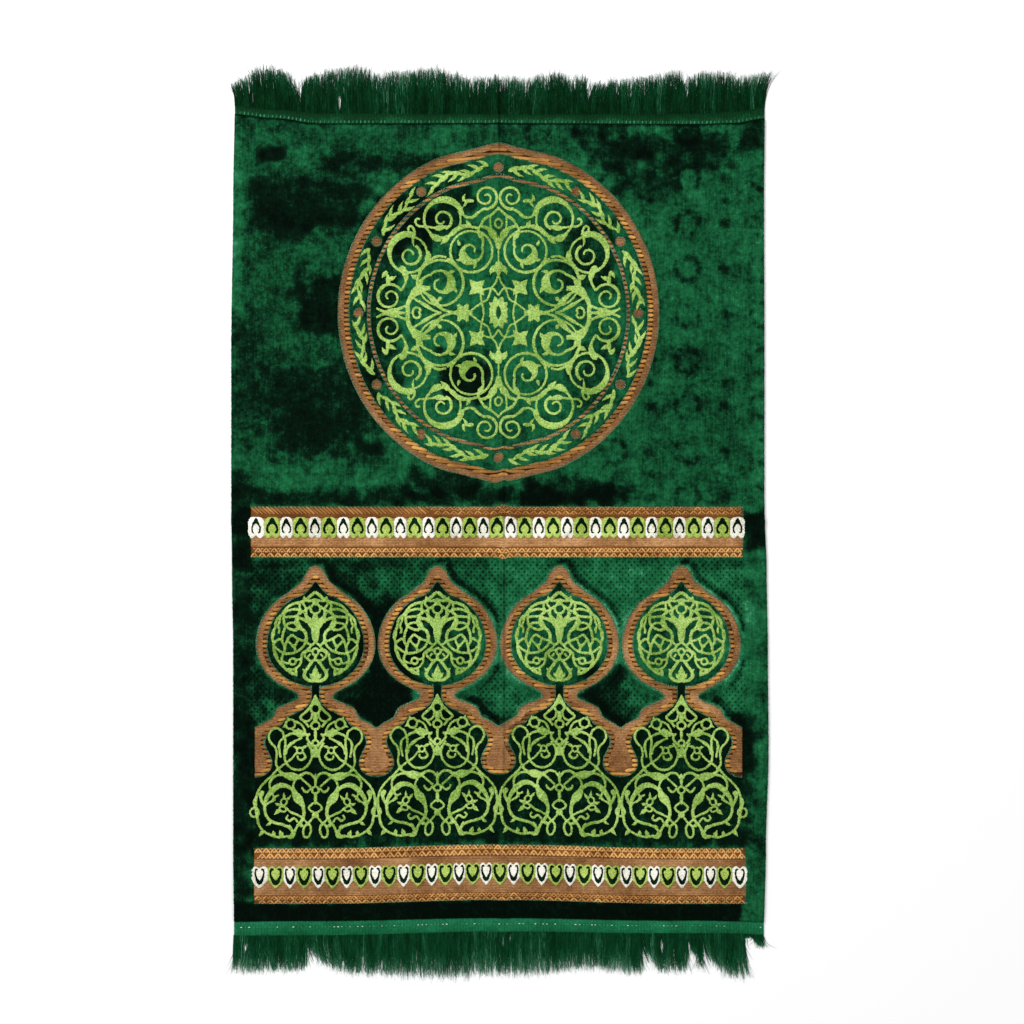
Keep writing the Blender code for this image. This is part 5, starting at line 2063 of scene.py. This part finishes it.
def petal_pieces(white, lime, dark):
    """Both bands' petals, white and lime by turns, and the dark loops on them."""
    chance = random.Random(PETAL_SEED)
    rims = {"white_petals": [], "lime_petals": []}
    loops = []
    for band, upper in ((UPPER_BAND, True), (LOWER_BAND, False)):
        rims["white_petals"] += petals(band, upper, 0)
        rims["lime_petals"] += petals(band, upper, 1)
        for petal in range(PETALS):
            loops += petal_loop(band, petal, upper)
    made = []
    for name, material in (("white_petals", white), ("lime_petals", lime)):
        ragged = [woven_edge(rim, chance) for rim in rims[name]]
        made.append(pile_body(name, ragged, PETAL_GRAIN, PILE_TOP, PILE_FOOT, material,
                              PETAL_SEED + 1, edge_drop=PETAL_EDGE_DROP)[0])
    made.append(pile_body("petal_loops", joined(loops, chance), MOTIF_GRAIN, PILE_TOP + LOOP_RISE,
                          PILE_TOP - MOTIF_ROOT, dark, PETAL_SEED + 2,
                          edge_drop=MOTIF_EDGE_DROP)[0])
    return made


def petal_loop(band, petal, upper):
    """The dark loop on one petal: a horseshoe in the upper band, a heart in the lower."""
    middle = (petal_edge(band, petal) + petal_edge(band, petal + 1)) / 2
    loops = LIME_LOOPS if petal % 2 else WHITE_LOOPS
    half = HORSESHOE if upper else HEART
    whole = half + [(-x, y) for x, y in half[-2::-1]]
    path = [(middle + x * loops.wide * KNOT, band.petal_top + y * KNOT) for x, y in whole]
    thick = loops.thick * KNOT
    return ribbon(smooth_path(path), stroke_width(thick, loops.heavy * KNOT, thick, 0.5))


def tree_of(points):
    """A search tree that finds the nearest one of many points."""
    tree = KDTree(len(points))
    for number, (across, along) in enumerate(points):
        tree.insert((across, along, 0), number)
    tree.balance()
    return tree


def edge_ruler(edge):
    """Measures a place against an edge: how far to its left the place is, and which way the edge
    runs there."""
    tree = tree_of(edge)

    def measure(across, along):
        spot, number, _ = tree.find((across, along, 0))
        before, after = edge[max(number - 2, 0)], edge[min(number + 2, len(edge) - 1)]
        angle = math.atan2(after[1] - before[1], after[0] - before[0])
        off = (along - spot.y) * math.cos(angle) - (across - spot.x) * math.sin(angle)
        return off, angle

    return measure


def rib_floats(edge, side, width, thick, chance):
    """Thick floats side by side along an edge. They lie across the rug, and where the edge slants
    they twist towards it, like the turns of a rope."""
    measure = edge_ruler(edge)

    def inside(across, along):
        return 0 < measure(across, along)[0] * side < width

    def one_float(middle, along, reach):
        """The float through a middle, as far each way as it stays inside."""
        twist = FLOAT_TWIST * math.sin(2 * measure(middle, along)[1])
        if reach > FLOAT_TWISTED * width:
            twist = 0.0
        ends = []
        for way in (-1, 1):
            step = 0.0
            while step < reach * FLOAT_LONGER and inside(middle + way * step * math.cos(twist),
                                                         along + way * step * math.sin(twist)):
                step += RIB_SAMPLE / 2
            ends.append(middle + way * step * math.cos(twist))
        return float_run(*ends, middle, along, math.tan(twist), thick, FLOAT_HEIGHT, chance)

    left, right = min(spot[0] for spot in edge) - width, max(spot[0] for spot in edge) + width
    low, high = min(spot[1] for spot in edge) - width, max(spot[1] for spot in edge) + width
    runs = []
    for number in range(math.ceil(low / FLOAT_PITCH), math.floor(high / FLOAT_PITCH) + 1):
        along = number * FLOAT_PITCH
        start = None
        for across in steps_between(left, right, RIB_SAMPLE):
            if inside(across, along):
                start = across if start is None else start
            elif start is not None:
                if across - start > FLOAT_SHORTEST:
                    runs.append(one_float((start + across) / 2, along, (across - start) / 2))
                start = None
    return runs


def rib_pieces(orange, tan, bed, tree):
    """The ribs along the medallion's ring, its fine ring and the arches, on their dark beds."""
    chance = random.Random(RIB_SEED)
    inner = arch_edges()[1]
    runs = rib_floats(medallion_ring(RING_INNER), -1, RING_RIB_WIDTH, FLOAT_THICK, chance)
    runs += rib_floats(inner, 1, ARCH_RIB_WIDTH, FLOAT_THICK, chance)
    fine = rib_floats(medallion_ring(FINE_RING_INNER), -1, FINE_RIB_WIDTH, FINE_FLOAT_THICK, chance)
    made = [yarns("rib_floats", runs, FLOAT_SIDES, FLOAT_FLATNESS, orange, tree),
            yarns("fine_ring_floats", fine, FLOAT_SIDES, FLOAT_FLATNESS, tan, tree)]
    beds = [medallion_ring(radii) for radii in (RING_MIDDLE,) + MEDALLION_RIMS[1:]]
    flat, tris, _ = triangulated(beds, fold_points())
    made.append(flat_bed("ring_beds", flat, tris, GROUND_TOP + BED_RISE, bed))
    strip = ribbon(inner[::BED_SKIP], lambda part: ARCH_BED_WIDTH)
    flat, tris = covered(strip, fold_points())
    made.append(flat_bed("arch_beds", flat, tris, GROUND_TOP + BED_RISE, bed))
    return made


def lattice_pieces(gold, pale, bed, tree):
    """The strips of slanting and nested floats that border the bands, on their dark beds."""
    chance = random.Random(LATTICE_SEED)
    runs, beads, beds = [], [], []
    for strip in LATTICES + DARK_STRIPS:
        across = steps_between(strip.left, strip.right, BED_STEP)
        beds.append([(spot, strip.bottom) for spot in across]
                    + [(spot, strip.top) for spot in reversed(across)])
    for strip in LATTICES:
        fill = slanted_strip if strip.pattern == "slanted" else nested_strip
        runs += [run._replace(shade=run.shade + strip.light) for run in fill(strip, chance)]
        if strip.pattern == "beaded":
            beads += bead_row(strip, chance)
    flat, tris, _ = triangulated(beds, fold_points())
    return [yarns("lattice_floats", runs, LATTICE_SIDES, LATTICE_FLATNESS, gold, tree),
            yarns("lattice_beads", beads, LATTICE_SIDES, LATTICE_FLATNESS, pale, tree),
            flat_bed("lattice_beds", flat, tris, GROUND_TOP + BED_RISE, bed)]


def edge_tufts(material, tree):
    """Loose pile that leans out over the flat weave round it."""
    outer, inner = arch_edges()
    rims = [(medallion_ring(radii), way) for radii, way in zip(MEDALLION_RIMS, (1, -1, 1, -1))]
    rims += [(outer, -1), (inner, 1)]
    rims += [(rim, 1) for rim in medallion_dots() + [opening(UPPER_BAND), opening(LOWER_BAND)]]
    verts, edges, lean = [], [], []
    for rim, way in rims:
        closed = rim[0] != rim[-1] and math.dist(rim[0], rim[-1]) < CLOSED_WITHIN
        path = rim + rim[:1] if closed else rim
        for start, end in zip(path, path[1:]):
            length = math.dist(start, end) or 1.0
            side = Vector((-(end[1] - start[1]), end[0] - start[0])) * way / length
            for part in steps_between(0.0, 1.0, TUFT_STRETCH / length):
                across = start[0] + (end[0] - start[0]) * part - side.x * TUFT_INSET
                along = start[1] + (end[1] - start[1]) * part - side.y * TUFT_INSET
                if part > 0:
                    edges.append((len(verts) - 1, len(verts)))
                verts.append(place(across, along, TUFT_ROOT))
                lean.append((side.x * TUFT_LEAN, side.y * TUFT_LEAN, 1.0))
    return grown("edge_tufts", verts, edges, {"lean": lean}, tree,
                 {"Spacing": TUFT_SPACING * MM, "Length": TUFT_LENGTH * MM,
                  "Width": TUFT_WIDTH * MM, "Seed": TUFT_SEED, "Yarn": material})


def tape_piece(name, end, profile, material):
    """The sewn tape between a seam and its fringe, with ribs across it."""
    left, right = end_limits(end)
    stations = steps_between(left, right, TAPE_STEP)
    rings, parts = [], []
    for across in stations:
        seam = read_table(ENDS, across, end + "_seam")
        edge = read_table(ENDS, across, end + "_edge")
        seam += math.copysign(SEAM_GAP / 2, edge - seam)
        rib = TAPE_RIB * math.cos(2 * math.pi * across / TAPE_RIB_PITCH)
        ring = [(line.part, line.height + (rib if 0 < line.part < 1 else 0)) for line in profile]
        ring += [(line.part, 0.0) for line in reversed(profile)]
        rings += [place(across, seam + (edge - seam) * part, height) for part, height in ring]
        parts += [part for part, _ in ring]
    size = 2 * len(profile)
    faces = []
    for station in range(len(stations) - 1):
        first = station * size
        for number in range(size):
            onward = (number + 1) % size
            faces.append((first + number, first + onward,
                          first + size + onward, first + size + number))
    last = len(rings) - size
    faces += [tuple(range(size)), tuple(range(last, last + size))]
    piece = mesh_object(name, rings, faces, [material])
    face_outwards(piece)
    add_values(piece, "edge_part", parts)
    return piece


def face_outwards(piece):
    """Turns all faces of a closed mesh outwards."""
    form = bmesh.new()
    form.from_mesh(piece.data)
    bmesh.ops.recalc_face_normals(form, faces=form.faces)
    form.to_mesh(piece.data)
    form.free()


def end_limits(end):
    """The left and right limits of the tape at one end of the rug."""
    corner = SIDES[-1] if end == "top" else SIDES[0]
    return corner.left, corner.right


def comb(across, end):
    """How far a strand's tip leans sideways away from the partings near it."""
    lean = 0.0
    for parting in PARTINGS[end]:
        away = across - parting.across
        aside = parting.right if away > 0 else -parting.left
        lean += aside * math.exp(-abs(away) / parting.reach)
    return lean


def round_slits(across, part, end):
    """How far a strand bends aside, at a part of its length, round the slits near it."""
    aside = 0.0
    for slit in SLITS[end]:
        away = across - slit.across
        if abs(away) < SLIT_REACH:
            half = (slit.end - slit.start) / 2
            bulge = slit.wide / 2 * soft_bump(part - slit.start - half, half)
            aside += math.copysign(bulge * (1 - abs(away) / SLIT_REACH), away)
    return aside


def fringe_piece(name, end, outwards, seed, material, tree):
    """One fringe: broad strands below, and fine ones over them that thin out at their tips."""
    chance = random.Random(seed)
    left, right = end_limits(end)
    locks = round((right - left) / LOCK_PITCH)
    pitch = (right - left) / locks
    usual = abs(read_table(REACHES[end], 0, "up") - read_table(ENDS, 0, end + "_edge"))
    runs = []
    for lock in range(locks):
        middle = left + (lock + 0.5) * pitch
        sway = chance.gauss(0, LOCK_SWAY)
        longer = chance.uniform(-LOCK_REACH, LOCK_REACH)
        shade = chance.random()
        for kind in (BROAD_STRANDS, FINE_STRANDS):
            for number in range(kind.count):
                across = middle + ((number + chance.random()) / kind.count - 0.5) * pitch
                edge = lay(across, read_table(ENDS, across, end + "_edge"), 0)
                reach = abs(read_table(REACHES[end], across, "up") - edge.y)
                if reach < SHORTEST_FRINGE:
                    continue
                length = reach * (kind.reach + chance.gauss(0, STRAND_UNEVEN)) + longer
                combed = comb(across, end) * min(1.0, length / usual)
                lean = sway + chance.gauss(0, kind.sway) + (middle - across) * LOCK_GATHER
                curl = chance.gauss(0, kind.curl)
                wave = chance.gauss(0, kind.curl) * STRAND_WAVE
                low = STRAND_LOW + chance.random() * STRAND_PILE * kind.lower
                points, sizes = [], []
                for joint in range(kind.joints + 1):
                    part = joint / kind.joints
                    height = low * (1 - STRAND_FALL * part) + edge.z * (1 - part) ** 2
                    aside = combed * part ** PARTING_STARTS + round_slits(across, part, end)
                    aside += wave * math.sin(STRAND_WAVES * part)
                    aside += lean * part ** LEAN_STARTS + curl * part ** CURL_STARTS
                    along = edge.y + outwards * (length * part - STRAND_ROOT)
                    points.append((Vector((across + aside, along, height)) + SHIFT) * MM)
                    sizes.append(kind.thick + (kind.tip - kind.thick) * part ** 2)
                runs.append(Run(points, sizes,
                                LOCK_SHADE * shade + (1 - LOCK_SHADE) * chance.random()))
    return yarns(name, runs, STRAND_SIDES, STRAND_FLATNESS, material, tree)


def seam_stitches(material, tree):
    """The stitches that hold the upper tape, as small teeth along its seam."""
    chance = random.Random(TEETH_SEED)
    left, right = end_limits("top")
    runs = []
    for across in steps_between(left + TOOTH_INSET, right - TOOTH_INSET, STITCH_PITCH):
        seam = read_table(ENDS, across, "top_seam")
        lean = chance.uniform(-TOOTH_LEAN, TOOTH_LEAN)
        points = [place(across + lean * joint.lean, seam + joint.off, joint.height)
                  for joint in TOOTH]
        runs.append(Run(points, [joint.thick for joint in TOOTH], chance.random()))
    return yarns("seam_stitches", runs, FLOAT_SIDES, TOOTH_FLATNESS, material, tree)


def tape_stitches(material, tree):
    """The stitches in the groove of the lower tape, a few of them bright with a painted glint."""
    chance = random.Random(GROOVE_SEED)
    left, right = end_limits("bottom")
    runs = []
    for across in steps_between(left + GROOVE_INSET, right - GROOVE_INSET, STITCH_PITCH):
        seam = read_table(ENDS, across, "bottom_seam")
        edge = read_table(ENDS, across, "bottom_edge")
        along = seam + (edge - seam) * GROOVE_PART
        across += chance.uniform(-GROOVE_JITTER, GROOVE_JITTER)
        half = chance.uniform(*GROOVE_STITCH_HALF)
        points = [place(across + half * joint.lean, along, joint.height) for joint in GROOVE_STITCH]
        # a few stitches get a painted glint
        runs.append(Run(points, [joint.thick for joint in GROOVE_STITCH],
                        STITCH_GLINT * chance.random() ** STITCH_RARITY))
    return yarns("tape_stitches", runs, FLOAT_SIDES, GROOVE_FLATNESS, material, tree)


# The room ----------------------------------------------------------------------------------------

def pale_floor():
    """A plain pale floor under the rug."""
    material = bpy.data.materials.new("pale_floor")
    material.use_nodes = True
    shader = material.node_tree.nodes["Principled BSDF"]
    shader.inputs["Base Color"].default_value = FLOOR_COLOUR
    shader.inputs["Roughness"].default_value = FLOOR_ROUGHNESS
    verts = [(x * FLOOR_HALF, y * FLOOR_HALF, FLOOR_Z)
             for x, y in ((-1, -1), (1, -1), (1, 1), (-1, 1))]
    mesh_object("floor", verts, [(0, 1, 2, 3)], [material])


def soft_light(name, spot, size, energy):
    """A large soft light that faces the rug's middle."""
    lamp = bpy.data.lights.new(name, "AREA")
    lamp.shape = "SQUARE"
    lamp.size = size
    lamp.energy = energy
    holder = in_scene(name, lamp)
    holder.location = spot
    holder.rotation_euler = (-Vector(spot)).to_track_quat("-Z", "Y").to_euler()


def light_room():
    """A key and a fill light, in a pale even room."""
    soft_light("key_light", KEY_SPOT, KEY_SIZE, KEY_ENERGY)
    soft_light("fill_light", FILL_SPOT, FILL_SIZE, FILL_ENERGY)
    world = bpy.data.worlds.new("pale_room")
    world.use_nodes = True
    sky = world.node_tree.nodes["Background"]
    sky.inputs["Color"].default_value = (1.0, 1.0, 1.0, 1.0)
    sky.inputs["Strength"].default_value = ROOM_LIGHT
    bpy.context.scene.world = world
    bpy.context.scene.view_settings.view_transform = "Standard"


def camera_above():
    """The camera looks straight down on the rug, a little to the right of its middle."""
    lens = bpy.data.cameras.new("camera")
    lens.lens = LENS
    lens.sensor_width = SENSOR
    camera = in_scene("camera", lens)
    spot = Vector((CAMERA_ACROSS, CAMERA_ALONG, 0)) + SHIFT
    distance = PICTURE_WIDTH * LENS / SENSOR
    camera.location = Vector((spot.x, spot.y, distance + PILE_TOP)) * MM
    bpy.context.scene.camera = camera


SHIFT = frame_shift()
camera_above()
pale_floor()
light_room()

yarn_maker = yarn_tree()
tuft_maker = tuft_tree()
lime = dyed_pile("lime_pile", (94, 128, 46), (138, 172, 84), (182, 212, 120))
petal_lime = dyed_pile("petal_lime_pile", (112, 138, 46), (154, 178, 82), (192, 214, 116))
white = dyed_pile("white_pile", (176, 176, 156), (232, 230, 214), (250, 250, 240))
loop_dye = dyed_pile("dark_pile", (1, 8, 3), (5, 20, 9), (16, 46, 22))
orange = yarn("orange_yarn", (92, 56, 20), (150, 100, 42), (210, 154, 76))
tan = yarn("tan_yarn", (104, 62, 30), (156, 100, 50), (206, 148, 84))
gold = yarn("gold_yarn", (140, 92, 42), (182, 128, 68), (224, 170, 100))
pale = yarn("pale_yarn", (190, 140, 100), (222, 178, 136), (244, 214, 180))
bed = yarn("bed_yarn", (42, 20, 8), (64, 34, 14), (96, 58, 30), roughness=0.85, gloss=0.05)
warm_bed = yarn("warm_bed_yarn", (88, 52, 22), (128, 82, 40), (160, 110, 62), roughness=0.85,
                gloss=0.05)

ground = ground_sheet(flat_weave(), backing())
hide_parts("rug_body")
rug_pieces = [green_piece(green_pile())] + motif_pieces(lime)
rug_pieces += petal_pieces(white, petal_lime, loop_dye)
rug_pieces += rib_pieces(orange, tan, bed, yarn_maker)
rug_pieces += lattice_pieces(gold, pale, warm_bed, yarn_maker)
# The tufts' lighter dye is a painted highlight, where the pile's loose tips catch the light.
rug_pieces.append(edge_tufts(dyed_pile("highlit_tuft_pile", (26, 92, 62), (58, 134, 100), (118, 178, 148)),
                             tuft_maker))
for piece in [ground] + rug_pieces:
    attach(piece, "root")

top_fringe = fringe_piece("fringe_strands_top", "top", 1, UPPER_FRINGE_SEED,
                          fringe_yarn("upper_fringe_yarn", 0.66), yarn_maker)
bottom_fringe = fringe_piece("fringe_strands_bottom", "bottom", -1, LOWER_FRINGE_SEED,
                             fringe_yarn("lower_fringe_yarn", 0.80), yarn_maker)
top_tape = tape_piece("tape_top", "top", TOP_TAPE,
                      tape_weave("upper_tape_weave", 0.5, (2, 34, 12), (4, 50, 22), (20, 84, 48)))
bottom_tape = tape_piece("tape_bottom", "bottom", BOTTOM_TAPE,
                         tape_weave("lower_tape_weave", 0.2, (8, 62, 34), (18, 94, 58),
                                    (34, 122, 84)))
teeth = seam_stitches(yarn("teeth_yarn", (12, 62, 34), (30, 96, 62), (64, 134, 98)), yarn_maker)
# The stitch yarn's white tone is the painted glint.
bright = tape_stitches(yarn("bright_yarn", (10, 84, 50), (60, 150, 112), (226, 236, 228)),
                       yarn_maker)
fringe_pieces = [top_fringe, bottom_fringe, top_tape, bottom_tape, teeth, bright]
for piece in fringe_pieces:
    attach(piece, "root")
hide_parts("fringe_top")
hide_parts("fringe_bottom")
